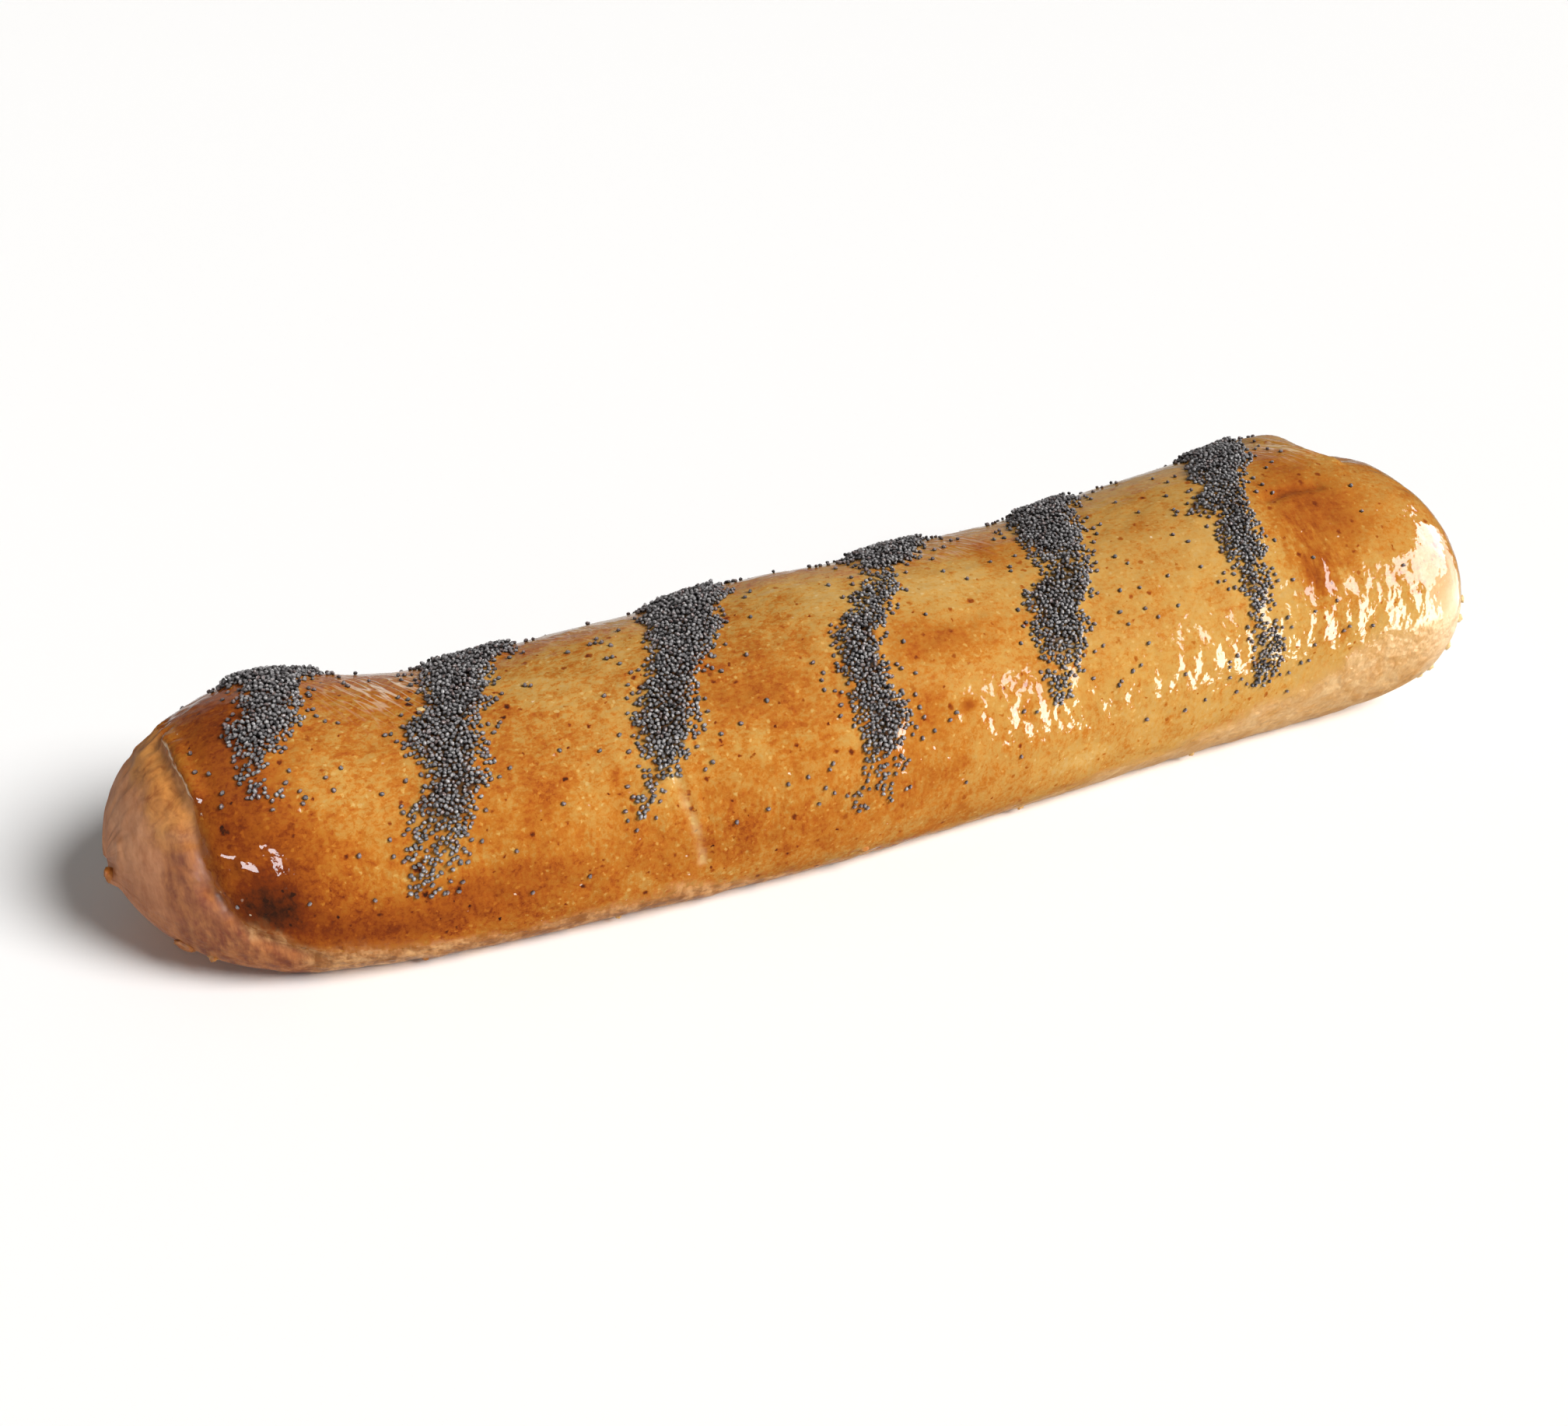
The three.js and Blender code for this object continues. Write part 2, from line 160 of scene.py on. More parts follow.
def station(x, column):
    """Smooth value of one column of the stations at x."""
    places, values = STATIONS[:, 0], STATIONS[:, column]
    last = len(places) - 1
    index = np.arange(last + 1)
    before, after = np.maximum(index - 1, 0), np.minimum(index + 1, last)
    slopes = (values[after] - values[before]) / (places[after] - places[before])
    i = np.clip(np.searchsorted(places, x) - 1, 0, last - 1)
    step = places[i + 1] - places[i]
    t = (x - places[i]) / step
    return ((2 * t**3 - 3 * t**2 + 1) * values[i] + (t**3 - 2 * t**2 + t) * step * slopes[i]
            + (3 * t**2 - 2 * t**3) * values[i + 1] + (t**3 - t**2) * step * slopes[i + 1])


# ---- The bare roll ----


def fullness(x):
    """How much of the full section is left at x: 1 along the roll, 0 at either tip."""
    left = 1.0
    for end, inside in ((TUCKED_END, x + HALF_LENGTH), (FAR_END, HALF_LENGTH - x)):
        share = np.clip((end["length"] - inside) / end["length"], 0, 1)
        left = left * (1 - share ** end["rise"]) ** (1 / end["nose"])
    return left


def power(value, n):
    return np.sign(value) * np.abs(value) ** (2 / n)


def skin(x, angle):
    """Points of the smooth crust."""
    x, angle = np.broadcast_arrays(np.asarray(x, float), np.asarray(angle, float))
    height = station(x, HEIGHT)
    full = fullness(x)
    up = np.cos(np.radians(angle))
    shape = np.where(up > 0, POWER_ABOVE, POWER_BELOW)
    reach = np.where(up > 0, 1 - WIDEST, WIDEST + FLATTENED)
    level = np.maximum(0, WIDEST + reach * power(up, shape))
    across = power(np.sin(np.radians(angle)), shape)
    y = station(x, BEND) - station(x, HALF_WIDTH) * full * across
    z = height * full * level + TIP_HEIGHT * height * (1 - full)
    return np.stack([x, y, z], -1)


def outward(x, angle):
    """Directions out of the crust, from points a small step to either side."""
    step, turn = 0.4, 0.6  # mm along and degrees round
    edge = HALF_LENGTH - 0.02  # short of the tips, where all angles meet
    ahead, behind = skin(np.minimum(x + step, edge), angle), skin(np.maximum(x - step, -edge), angle)
    front, back = skin(x, angle + turn), skin(x, angle - turn)
    normal = np.cross(front - back, ahead - behind)
    return normal / np.linalg.norm(normal, axis=-1, keepdims=True)


def travelled(points):
    """Length of a path up to each of its points."""
    return np.concatenate([[0], np.cumsum(np.linalg.norm(np.diff(points, axis=0), axis=1))])


# Length round the crust from its crest, against the angle, at the middle of the roll.
SECTION_ANGLES = np.linspace(0, BASE_ANGLE, 1401)
SECTION_ARCS = travelled(skin(0.0, SECTION_ANGLES))


def arc_at(angle):
    """Length in mm round the crust from its crest, positive to the front."""
    return np.sign(angle) * np.interp(np.abs(angle), SECTION_ANGLES, SECTION_ARCS)


def even_angles(count):
    """Angles from rim to rim, at even steps round the crust."""
    arcs = np.linspace(-SECTION_ARCS[-1], SECTION_ARCS[-1], count)
    return np.sign(arcs) * np.interp(np.abs(arcs), SECTION_ARCS, SECTION_ANGLES)


def even_rings(count):
    """Places along the roll from tip to tip, at even steps along its side."""
    x = HALF_LENGTH * np.sin(np.radians(np.linspace(-90, 90, 6001)))
    along = travelled(skin(x, 80.0))
    return np.interp(np.linspace(0, along[-1], count + 2)[1:-1], along, x)


# ---- Relief ----


def near_line(points, line, width):
    """1 on a line of (x, angle) places, 0 clear of it."""
    steps = 8
    nearest = np.full(points.shape[:-1], np.inf)
    for (x0, a0), (x1, a1) in zip(line, line[1:]):
        for t in np.arange(steps + 1) / steps:
            place = skin(x0 + (x1 - x0) * t, a0 + (a1 - a0) * t)
            nearest = np.minimum(nearest, np.linalg.norm(points - place, axis=-1))
    return np.exp(-((nearest / width) ** 2))


def fold_relief(points, swellings, creases):
    """Height in mm of those swellings and creases."""
    total = np.zeros(points.shape[:-1])
    for x, angle, radius, height in swellings:
        distance = np.linalg.norm(points - skin(x, angle), axis=-1)
        total += height * np.exp(-((distance / radius) ** 2))
    for line, width, height in creases:
        total += height * near_line(points, line, width)
    return total


def band_inside(x, angle):
    """Distance in mm inside the edge of the nearest seed band, and how closely that band is strewn."""
    far_out = -99.0
    inside = np.full(np.broadcast(x, angle).shape, far_out)
    strewn = np.zeros_like(inside)
    wander = RAGGED["depth"] * (noise(x / RAGGED["along"], angle / RAGGED["degrees"]) - 0.5)
    for band in SEED_BANDS:
        for here, there in zip(band, band[1:]):
            within = (angle >= here[0]) & (angle < there[0])
            t = smoothstep(angle, here[0], there[0])
            middle, half, close = (here[k] + (there[k] - here[k]) * t for k in (1, 2, 3))
            deep = np.where(within, half + wander - np.abs(x - middle), far_out)
            strewn = np.where(deep > inside, close, strewn)
            inside = np.maximum(inside, deep)
    return inside, strewn


def waves(x, angle):
    """Height in mm of the slow waves."""
    calm = smoothstep(BASE_ANGLE - np.abs(angle), 0, WAVES_CALM)
    return calm * sum(height * np.sin(x / along + angle / turn + shift)
                      for along, turn, shift, height in WAVES)


# Edge of the outer layer that folds over the tucked end, as (x, angle) places
FOLD = CREASES[0][0] + [(-132.5, 60), (-132.7, 76), (-129, 95), (-118, 109)]

# Fine forms that only the looks have: blisters and pits as x, angle, radius, height
BLISTERS = [
    (-129.9, 62, 1.7, 0.35), (-126.2, 67, 2, 0.45), (-124, 70, 1.2, 0.3),
    (-128.1, 65.5, 0.9, -0.25), (-131.2, 36, 1.3, -0.6), (-51, 91, 1.3, 0.4),
]
# and ridges and furrows as a line of (x, angle) places, width, height
WRINKLES = [
    ([(-132.5, 2), (-131.9, 17), (-130.9, 34)], 0.8, 0.35),
    ([(-47.7, 58), (-46.5, 74), (-45, 88), (-44.3, 97)], 0.8, -0.4),
    ([(-43.4, 66), (-43, 80), (-43.6, 96)], 0.7, -0.25),
    ([(-85, 76), (-84.6, 84), (-85, 91)], 0.7, -0.2),
    ([(-147, 40), (-148, 70), (-149, 100)], 1, 0.4),
    ([(104.8, 46), (103.2, 60)], 1, 0.4),
    ([(100, 14), (108, 12.5), (116, 14)], 1, -0.35),
    ([(-135.7, -38), (-134.6, -12)], 1.4, -0.6),
    ([(-137.6, -38), (-136.5, -12)], 2.2, 0.65),
    ([(-142, -55), (-141, -33), (-141.5, -12)], 1.2, -0.5),
]
# Drips of glaze that break up the shine: x, angle, mm along, degrees round
DRIPS = [
    (4, 82, 8, 8), (26, 76, 6.5, 11), (35, 74, 5, 9),
    (51, 77, 5, 7), (61, 76, 6, 8), (71, 78, 7, 12),
    (80, 76, 6, 12), (98, 76, 13, 13), (113, 68, 9, 14),
    (124, 72, 8, 12),
]

# Uneven skin: height, then mm along and mm round of its largest lumps
PEEL = (0.24, 3.2, 3.2)  # orange peel of the glazed crust
DRIPPED = (0.36, 2.0, 4.8)
GATHERED = (0.16, 7.0, 2.2)  # at the tucked tip
LUMPED = (0.5, 3.5, 5.0)  # on top of the tucked end


def patch(x, angle, place, reach):
    """1 in the middle of a patch, 0 clear of it. Its reach is in mm along and degrees round."""
    return np.exp(-(((x - place[0]) / reach[0]) ** 2) - ((angle - place[1]) / reach[1]) ** 2)


def dripping(x, angle):
    """1 where drips of glaze stand on the crust, 0 clear of them."""
    return np.clip(sum(patch(x, angle, place[:2], place[2:]) for place in DRIPS), 0, 1)


def fine_relief(x, angle, points):
    """Relief finer than the part's: orange peel, drips of glaze, blisters, stretch marks and wrinkles."""
    arc = arc_at(angle)

    def uneven(height, along, around):
        return height * rough_noise(x / along, arc / around, 2)

    off_the_tips = smoothstep(fullness(x), 0.35, 0.8)
    at_the_tip = 1 - smoothstep(x, -146, -134)
    end_top = (1 - smoothstep(x, -135, -132)) * (1 - smoothstep(np.abs(angle), 30, 70))
    return (uneven(*PEEL) * off_the_tips + uneven(*DRIPPED) * off_the_tips * dripping(x, angle)
            + uneven(*GATHERED) * at_the_tip + uneven(*LUMPED) * end_top
            + fold_relief(points, BLISTERS, WRINKLES))


def crust(x, angle):
    """Points of the finished crust in mm, before they are moved into the frame."""
    points = skin(x, angle)
    inside, strewn = band_inside(x, angle)
    cover = strewn * smoothstep(inside, -BANK_EDGE / 2, BANK_EDGE / 2)
    relief = (fold_relief(points, SWELLINGS, CREASES) + waves(x, angle) + SEED_BED * cover
              + fine_relief(x, angle, points))
    rim = smoothstep(np.abs(angle), BASE_ANGLE - RIM["degrees"], BASE_ANGLE)
    side = np.sign(angle)
    moved = points + outward(x, angle) * (relief * (1 - rim))[..., None]
    wander = (RIM["wander"] * (noise(x / RIM["along"], side) - 0.5)
              + FINE_RIM["wander"] * (noise(x / FINE_RIM["along"], side * 5) - 0.5))
    moved[..., 1] -= side * rim * fullness(x) * wander
    moved[..., 2] = np.maximum(moved[..., 2], 0)
    return moved


# ---- Numbers kept on the crust's mesh, which its finish goes by ----

# How far the plain crust is baked at places along it: 0 pale gold, 0.5 golden orange, 1 burnt
BROWNED = [(-130, 0.465), (-60, 0.425), (-20, 0.415), (20, 0.37), (60, 0.315), (95, 0.315), (120, 0.36),
           (150, 0.405)]

# Places baked more (+) or less (-): x, angle, mm along, degrees round, by how much
BAKED_PLACES = [
    (-106, 35, 7, 40, -0.08), (-126, -14, 9, 22, 0.2), (-125, 15, 9, 20, 0.2),
    (-123.5, 45, 9, 18, 0.18), (-122, 67, 9, 13, 0.15), (-124, 83, 8, 11, 0.36),
    (-112, 96, 14, 9, 0.22), (-96, 98, 12, 9, 0.1), (-60, 92, 46, 16, 0.08),
    (-131.4, 36, 1.3, 3, 0.14), (-129.5, 56, 4, 18, 0.09), (-124, 90, 6, 6, 0.14),
    (-30, 38, 8, 10, 0.1), (-60, -2, 20, 16, -0.12), (-84, 86, 14, 10, 0.12),
    (-12, 0, 15, 14, -0.15), (-62, 20, 18, 12, -0.06), (-13, -3, 3, 4, 0.16),
    (18, 6, 16, 13, -0.14), (14, 33, 17, 8, 0.12), (0, 60, 12, 22, 0.08),
    (-4, 96, 16, 12, 0.05), (14, 62, 1.6, 2.5, 0.3), (35, -7, 8, 12, 0.12),
    (70, 7, 5, 5, 0.12), (66, 40, 10, 20, 0.03), (110, 24, 11, 24, 0.26),
    (102, 52, 4, 12, 0.26), (127, 25, 8, 14, 0.05), (108, 13, 7, 2.5, 0.14),
    (113, -8, 6, 10, 0.08), (127, 84, 20, 14, -0.14), (41, 99, 9, 5, -0.12),
    (-103, -20, 12, 20, 0.05),
]


def baked_level(x, angle):
    """How far the crust is baked, with its browner and paler places."""
    level = np.interp(x, *zip(*BROWNED))
    for place_x, place_angle, along, turn, more in BAKED_PLACES:
        level = level + more * patch(x, angle, (place_x, place_angle), (along, turn))
    return level


# How far down from the crest the glaze reaches: degrees, at places along the roll
GLAZED_TO = [(-150, 92), (-126, 98), (-118, 102), (-103, 109), (-90, 114), (-62, 111), (-51, 104),
             (-40, 114), (-25, 121), (0, 127), (40, 119), (90, 101), (110, 90), (150, 82)]


def bare_level(x, angle):
    """How far the dough is unglazed and pale: 1 on the band above the floor, 0 on the glazed crust."""
    edge = np.interp(x, *zip(*GLAZED_TO))
    wander = 9 * rough_noise(x / 9, np.abs(angle) / 14)
    return smoothstep(np.abs(angle) + wander, edge - 5, edge + 6)


# Pale lines painted on the crust: a stretch mark down the front, partly a painted glint, and a painted
# sheen line over the rim of the far end
FRONT_STRETCH_AND_GLINT = WRINKLES[1][0]
FAR_RIM_SHEEN_LINE = [(111.0, -27.0), (114.7, -24.7), (118.2, -15.3), (122.1, -1.1)]

# Where fine wrinkles show, with painted sheen on them: place, its reach in mm along and degrees round, how
# strongly
WRINKLES_WITH_SHEEN = [
    ((-94, -14), (9, 16), 1), ((-50, -32), (16, 14), 0.7), ((27, -17), (14, 9), 0.7),
    ((118, -14), (8, 9), 0.7), ((0, -60), (90, 26), 0.3),
]

# How the strays get fewer beside a band: their share at its edge, over how many mm that share dies out
STRAYED = [(0.46, 1.9), (0.1, 6.0)]
STRAYED_FAR = 0.006  # their share everywhere
SEED_EDGE = {"depth": 3.4, "size": 2.1}  # how ragged the seeds lie at the edge of a band


def seed_numbers(x, angle, arc):
    """How thickly the crust is strewn with each kind of seed, and where painted shade darkens it under the
    bands.
    """
    inside, strewn = band_inside(x, angle)
    ragged = inside + SEED_EDGE["depth"] * rough_noise(x / SEED_EDGE["size"], arc / SEED_EDGE["size"], 2)
    beside = np.maximum(-inside, 0)
    stray = sum(share * np.exp(-beside / reach) for share, reach in STRAYED)
    stray = (stray + STRAYED_FAR) * (1 - smoothstep(inside, 0, 1))
    stray = stray * (1 - smoothstep(np.abs(angle), 92, 108))
    clumped = 0.5 + 1.9 * smoothstep(noise(x / 2.0 + 3, arc / 2.0 + 8), 0.5, 0.85)
    off_the_ends = smoothstep(x, -138, -128) * (1 - smoothstep(x, 118, 128))
    return {
        "seed_painted_shade": smoothstep(strewn * smoothstep(inside, 0.2, 2.2), 0.5, 0.95),
        "seed_bed": np.sqrt(strewn) * smoothstep(ragged, -1.6, 0.6),
        "seed_heap": strewn**2 * smoothstep(ragged, 0.3, 1.8),
        "seed_stray": stray * clumped * off_the_ends,
    }


def fold_numbers(x, angle, arc):
    """Where the dough lies bare under the fold and on the tucked end, and where a painted highlight lines
    the fold's edge.
    """
    fold_x = np.interp(angle, *[[place[k] for place in FOLD] for k in (1, 0)])
    soft = smoothstep(angle, 34, 48)  # the edge fades down the front
    ragged = fold_x - x + (1.2 + 1.8 * soft) * rough_noise(x / 2, arc / 4)
    return {
        "under_fold": smoothstep(ragged, 0.1 - 1.4 * soft, 1.6 + 1.4 * soft),
        "end_face": 1 - smoothstep(x + 3 * rough_noise(x / 4, arc / 9), -142.5, -139.5),
        "fold_edge_highlight": smoothstep(angle, -14, -2) * (1 - smoothstep(angle, 30, 36)),
        "fold_pale": 1 - smoothstep(angle + 8 * rough_noise(x / 3, arc / 5), 40, 62),
    }


def crust_finish(x, angle):
    """The numbers kept at each vertex of the crust, by name."""
    points = skin(x, angle)
    arc = arc_at(angle)
    return {
        **seed_numbers(x, angle, arc),
        **fold_numbers(x, angle, arc),
        "baked": baked_level(x, angle),
        "bare": bare_level(x, angle),
        "creamy": smoothstep(x, -50, 50),
        "stretch_marks_and_sheen": (near_line(points, FRONT_STRETCH_AND_GLINT, 0.8) * (0.3 + 1.2 * rough_noise(x / 3, arc / 3))
                      + near_line(points, FAR_RIM_SHEEN_LINE, 0.45)),
        "pale_tip": (smoothstep(x + 2.5 * rough_noise(x / 5, arc / 5), 130, 142)
                     * smoothstep(np.abs(angle), 58, 80)),
        "streaky": patch(x, angle, (104, 40), (9, 26)),
        "wrinkles_with_sheen": sum(deep * patch(x, angle, place, reach) for place, reach, deep in WRINKLES_WITH_SHEEN),
        "drips": dripping(x, angle),
    }


# ---- Meshes ----


def hoop_faces(hoops, count, start, tips):
    """Faces over hoops of so many points each, numbered from start, and out to two tips."""
    last = start + (hoops - 1) * count
    faces = []
    for here in range(start, last, count):
        for k in range(count):
            beside = (k + 1) % count
            faces.append((here + k, here + beside, here + count + beside, here + count + k))
    for k in range(count):
        beside = (k + 1) % count
        faces += [(tips[0], start + beside, start + k), (tips[1], last + k, last + beside)]
    return faces


def new_object(name, data):
    """An object in the scene with that mesh, lamp or camera."""
    made = bpy.data.objects.new(name, data)
    bpy.context.scene.collection.objects.link(made)
    return made


def new_piece(name, points, faces, material, numbers=None):
    """A mesh object with its place in its mesh, from points in the frame's metres."""
    mesh = bpy.data.meshes.new(name)
    mesh.from_pydata([tuple(p) for p in points], [], faces)
    for key, values in (numbers or {}).items():
        kept = mesh.attributes.new(key, "FLOAT", "POINT")
        kept.data.foreach_set("value", np.asarray(values, np.float32))
    mesh.materials.append(material)
    mesh.shade_smooth()
    mesh.validate()
    return new_object(name, mesh)


def into_frame(points):
    return (points - BOX_MIDDLE) * MM


def crust_piece(material):
    """The crust: rings along the roll, each closed across the flat base, and a point at either tip."""
    x = even_rings(RINGS)[:, None]
    angle = even_angles(ARC_COLUMNS)[None, :]
    x, angle = np.broadcast_arrays(x, angle)
    arc = crust(x, angle)
    share = (np.arange(1, BASE_COLUMNS + 1) / (BASE_COLUMNS + 1))[None, :, None]
    base = arc[:, -1:, :] + (arc[:, :1, :] - arc[:, -1:, :]) * share
    grid = np.concatenate([arc, base], 1)
    base_x = np.repeat(x[:, :1], BASE_COLUMNS, 1)
    base_angle = np.where(share[..., 0] < 0.5, BASE_ANGLE, -BASE_ANGLE) * np.ones_like(base_x)
    numbers = crust_finish(np.concatenate([x, base_x], 1), np.concatenate([angle, base_angle], 1))

    count = RINGS * (ARC_COLUMNS + BASE_COLUMNS)
    faces = hoop_faces(RINGS, ARC_COLUMNS + BASE_COLUMNS, 0, (count, count + 1))
    tips = skin(np.array([-HALF_LENGTH, HALF_LENGTH]), 0.0)
    points = into_frame(np.concatenate([grid.reshape(-1, 3), tips]))
    numbers = {key: np.concatenate([values.ravel(), values[[0, -1], 0]]) for key, values in numbers.items()}
    return new_piece("strudel_crust", points, faces, material, numbers)


# ---- Node trees ----


def operator(operation):
    """An operator of Link, and its reflected form for a link on the right."""
    return (lambda self, other: self.maths(operation, self, other),
            lambda self, other: self.maths(operation, other, self))


class Link:
    """An output socket, so that maths on what it gives reads as a Python expression."""

    def __init__(self, tree, socket):
        self.tree = tree
        self.socket = socket

    def maths(self, operation, *values):
        return self.tree.node("ShaderNodeMath", {"operation": operation}, dict(enumerate(values)))

    __add__, __radd__ = operator("ADD")
    __sub__, __rsub__ = operator("SUBTRACT")
    __mul__, __rmul__ = operator("MULTIPLY")

    def __neg__(self):
        return self.maths("MULTIPLY", self, -1.0)

    def __abs__(self):
        return self.maths("ABSOLUTE", self)

    def clamp(self):
        return self.maths("MINIMUM", self.maths("MAXIMUM", self, 0.0), 1.0)

    def smooth(self, low, high):
        """0 below low, 1 above high, smooth between."""
        return self.tree.node("ShaderNodeMapRange", {"interpolation_type": "SMOOTHSTEP"},
                              {"Value": self, "From Min": low, "From Max": high})

    def other(self, name):
        """Another output of the same node."""
        return Link(self.tree, self.socket.node.outputs[name])


class Tree:
    """Adds nodes to the node tree of a material, the world or a modifier."""

    def __init__(self, tree):
        self.tree = tree

    def node(self, kind, settings=None, sockets=None, out=None):
        """A node of that type. Its settings are set first, then its sockets, each by name or number."""
        made = self.tree.nodes.new(kind)
        for name, value in (settings or {}).items():
            setattr(made, name, value)
        for name, value in (sockets or {}).items():
            if isinstance(name, int):
                socket = made.inputs[name]
            else:
                socket = next(s for s in made.inputs if s.name == name and s.enabled)
            if isinstance(value, Link):
                self.tree.links.new(value.socket, socket)
            else:
                socket.default_value = value
        given = [s for s in made.outputs if s.enabled and out in (None, s.name)]
        return Link(self, given[0]) if given else None

    def mix(self, share, one, other, blend="MIX"):
        """A colour between one and the other."""
        colours = {"Factor": share, "A": as_colour(one), "B": as_colour(other)}
        return self.node("ShaderNodeMix", {"data_type": "RGBA", "blend_type": blend}, colours)

    def noise(self, where, size, detail=2.0, roughness=0.5, distortion=0.0):
        """Noise between 0 and 1 whose largest spots are about size across."""
        return self.node("ShaderNodeTexNoise", None, {
            "Vector": where, "Scale": 1 / size, "Detail": detail, "Roughness": roughness,
            "Distortion": distortion}, "Fac")

    def number(self, name):
        """A number kept on the mesh."""
        return self.node("ShaderNodeAttribute", {"attribute_name": name}, None, "Fac")

    def ramp(self, share, stops):
        """A colour between stops, each a share and its colour."""
        shaded = self.node("ShaderNodeValToRGB", None, {"Fac": share}, "Color")
        elements = shaded.socket.node.color_ramp.elements
        while len(elements) < len(stops):
            elements.new(1.0)
        for element, (place, colour) in zip(elements, stops):
            element.position = place
            element.color = as_colour(colour)
        return shaded

    def vectors(self, operation, one, other):
        return self.node("ShaderNodeVectorMath", {"operation": operation}, {0: one, 1: other})

    def scaled(self, vector, share):
        return self.node("ShaderNodeVectorMath", {"operation": "SCALE"}, {"Vector": vector, "Scale": share})

    def mapped(self, place, scale=(1, 1, 1), rotation=(0, 0, 0)):
        """The place stretched and turned."""
        return self.node("ShaderNodeMapping", None, {"Vector": place, "Scale": scale, "Rotation": rotation})

    def bump(self, height, distance, strength=1.0):
        return self.node("ShaderNodeBump", None,
                         {"Strength": strength, "Distance": distance, "Height": height})


def as_colour(value):
    return value if isinstance(value, Link) else (*value, 1.0)


def empty_tree(owner):
    """The maker of nodes for a material or a world that has none yet."""
    owner.use_nodes = True
    owner.node_tree.nodes.clear()
    return Tree(owner.node_tree)


def new_material(name):
    """A material without nodes, the maker of its nodes, and the place on the piece in mm."""
    material = bpy.data.materials.new(name)
    tree = empty_tree(material)
    return material, tree, tree.mapped(tree.node("ShaderNodeTexCoord", None, None, "Object"), (1 / MM,) * 3)


def finish_material(material, tree, sockets):
    """Ends a material in one plain shader with those sockets."""
    shader = tree.node("ShaderNodeBsdfPrincipled", None, sockets)
    tree.node("ShaderNodeOutputMaterial", None, {"Surface": shader})
    return material


# ---- Materials ----

# Colours of the crust against how far it is baked.
BAKED_COLOURS = [
    (0, (0.72, 0.52, 0.24)), (0.15, (0.64, 0.405, 0.14)), (0.3, (0.555, 0.3, 0.07)),
    (0.45, (0.458, 0.163, 0.02)), (0.6, (0.355, 0.09, 0.01)), (0.78, (0.19, 0.035, 0.006)),
    (0.92, (0.075, 0.018, 0.006)), (1, (0.035, 0.012, 0.006)),
]
# Patterns of the crust and how much each browns it, and how much each deepens its colour
MOTTLED_BY = {"broad": 0.36, "middling": 0.47, "streaks": 0.3, "fine": 0.68, "lines": 0.05}
DEEPENED_BY = {"streaks": 0.35, "fine": 0.55, "middling": 0.2}
PALE_DAMPED = 0.32  # share by which its pale spots are toned down

# Specks: mm from one to the next, mm across, how rare the faintest are, and how much the dark ones brown
DARK_SPECKS = [(6.0, 0.95, 0.35, 0.42), (2.6, 0.45, 0.2, 0.36), (3.7, 0.72, 0.2, 0.34)]
# Painted glints: pale specks that stand in for tiny glints of the glaze
PAINTED_GLINT_SPECKS = (4.2, 0.34, 0.5)
# Pale dots at pores, partly painted glints
PALE_PORE_AND_GLINT_SPECKS = (1.5, 0.5, 0.1)

# Bare dough: its dark and its light, and the patterns that blend them
DOUGHS = {
    "foot": ((0.27, 0.082, 0.018), (0.68, 0.335, 0.11), {"lines_down": 2.4, "middling": 3.2, "fine": 1.4}),
    "far_foot": ((0.55, 0.265, 0.075), (0.69, 0.45, 0.205), {"middling": 3, "fine": 1.6}),
    "under_fold": ((0.24, 0.045, 0.006), (0.48, 0.155, 0.03), {"lines_down": 3.2, "middling": 2.4}),
    "end_face": ((0.46, 0.165, 0.056), (0.66, 0.315, 0.145), {"lines_down": 2.2, "fine": 0.9}),
}
FOOT_PALE = (0.86, 0.56, 0.28)
FOLD_PALE = (0.72, 0.315, 0.075)
END_LOW, END_HIGH = (0.78, 0.54, 0.3), (1.1, 1.1, 1.12)  # tint of the tucked end from the floor up
# Painted highlight along the fold's edge
PAINTED_HIGHLIGHT_ON_FOLD_EDGE = (0.75, 0.55, 0.36)
TIP_DOUGH = (0.8, 0.6, 0.38)
# Painted sheen on the fine wrinkles
PAINTED_SHEEN_ON_WRINKLES = (0.85, 0.68, 0.52)
# Colour of the painted glints
PAINTED_GLINT_COLOUR = (0.92, 0.76, 0.54)
# Painted shade on the crust under the heaped seeds
PAINTED_SHADE_UNDER_SEEDS = (0.022, 0.014, 0.011)
GLAZE_ROUGHNESS = 0.055


def specks(tree, place, spacing, size, rarest):
    """Small round specks, most of them faint: 1 in the middle of the strongest."""
    cells = tree.node("ShaderNodeTexVoronoi", {"feature": "F1"}, {"Vector": place, "Scale": 1 / spacing},
                      "Distance")
    chance = tree.node("ShaderNodeSeparateColor", None, {"Color": cells.other("Color")}, "Red")
    return (1 - (cells * spacing).smooth(size * 0.35, size)) * chance.smooth(rarest, 0.95)


def shaken(tree, place, size, reach):
    """The place moved a little at random, so that round shapes come out ragged."""
    return tree.vectors("ADD", place, tree.scaled(tree.noise(place, size).other("Color"), reach))


def near_half(value, reach):
    """1 where the value is one half, 0 beyond the reach from it: thin lines in a noise."""
    return 1 - abs(value - 0.5).smooth(0.0, reach)


def blend(patterns, shares):
    """The sum of some patterns, each by its share."""
    return sum(patterns[name] * share for name, share in shares.items())


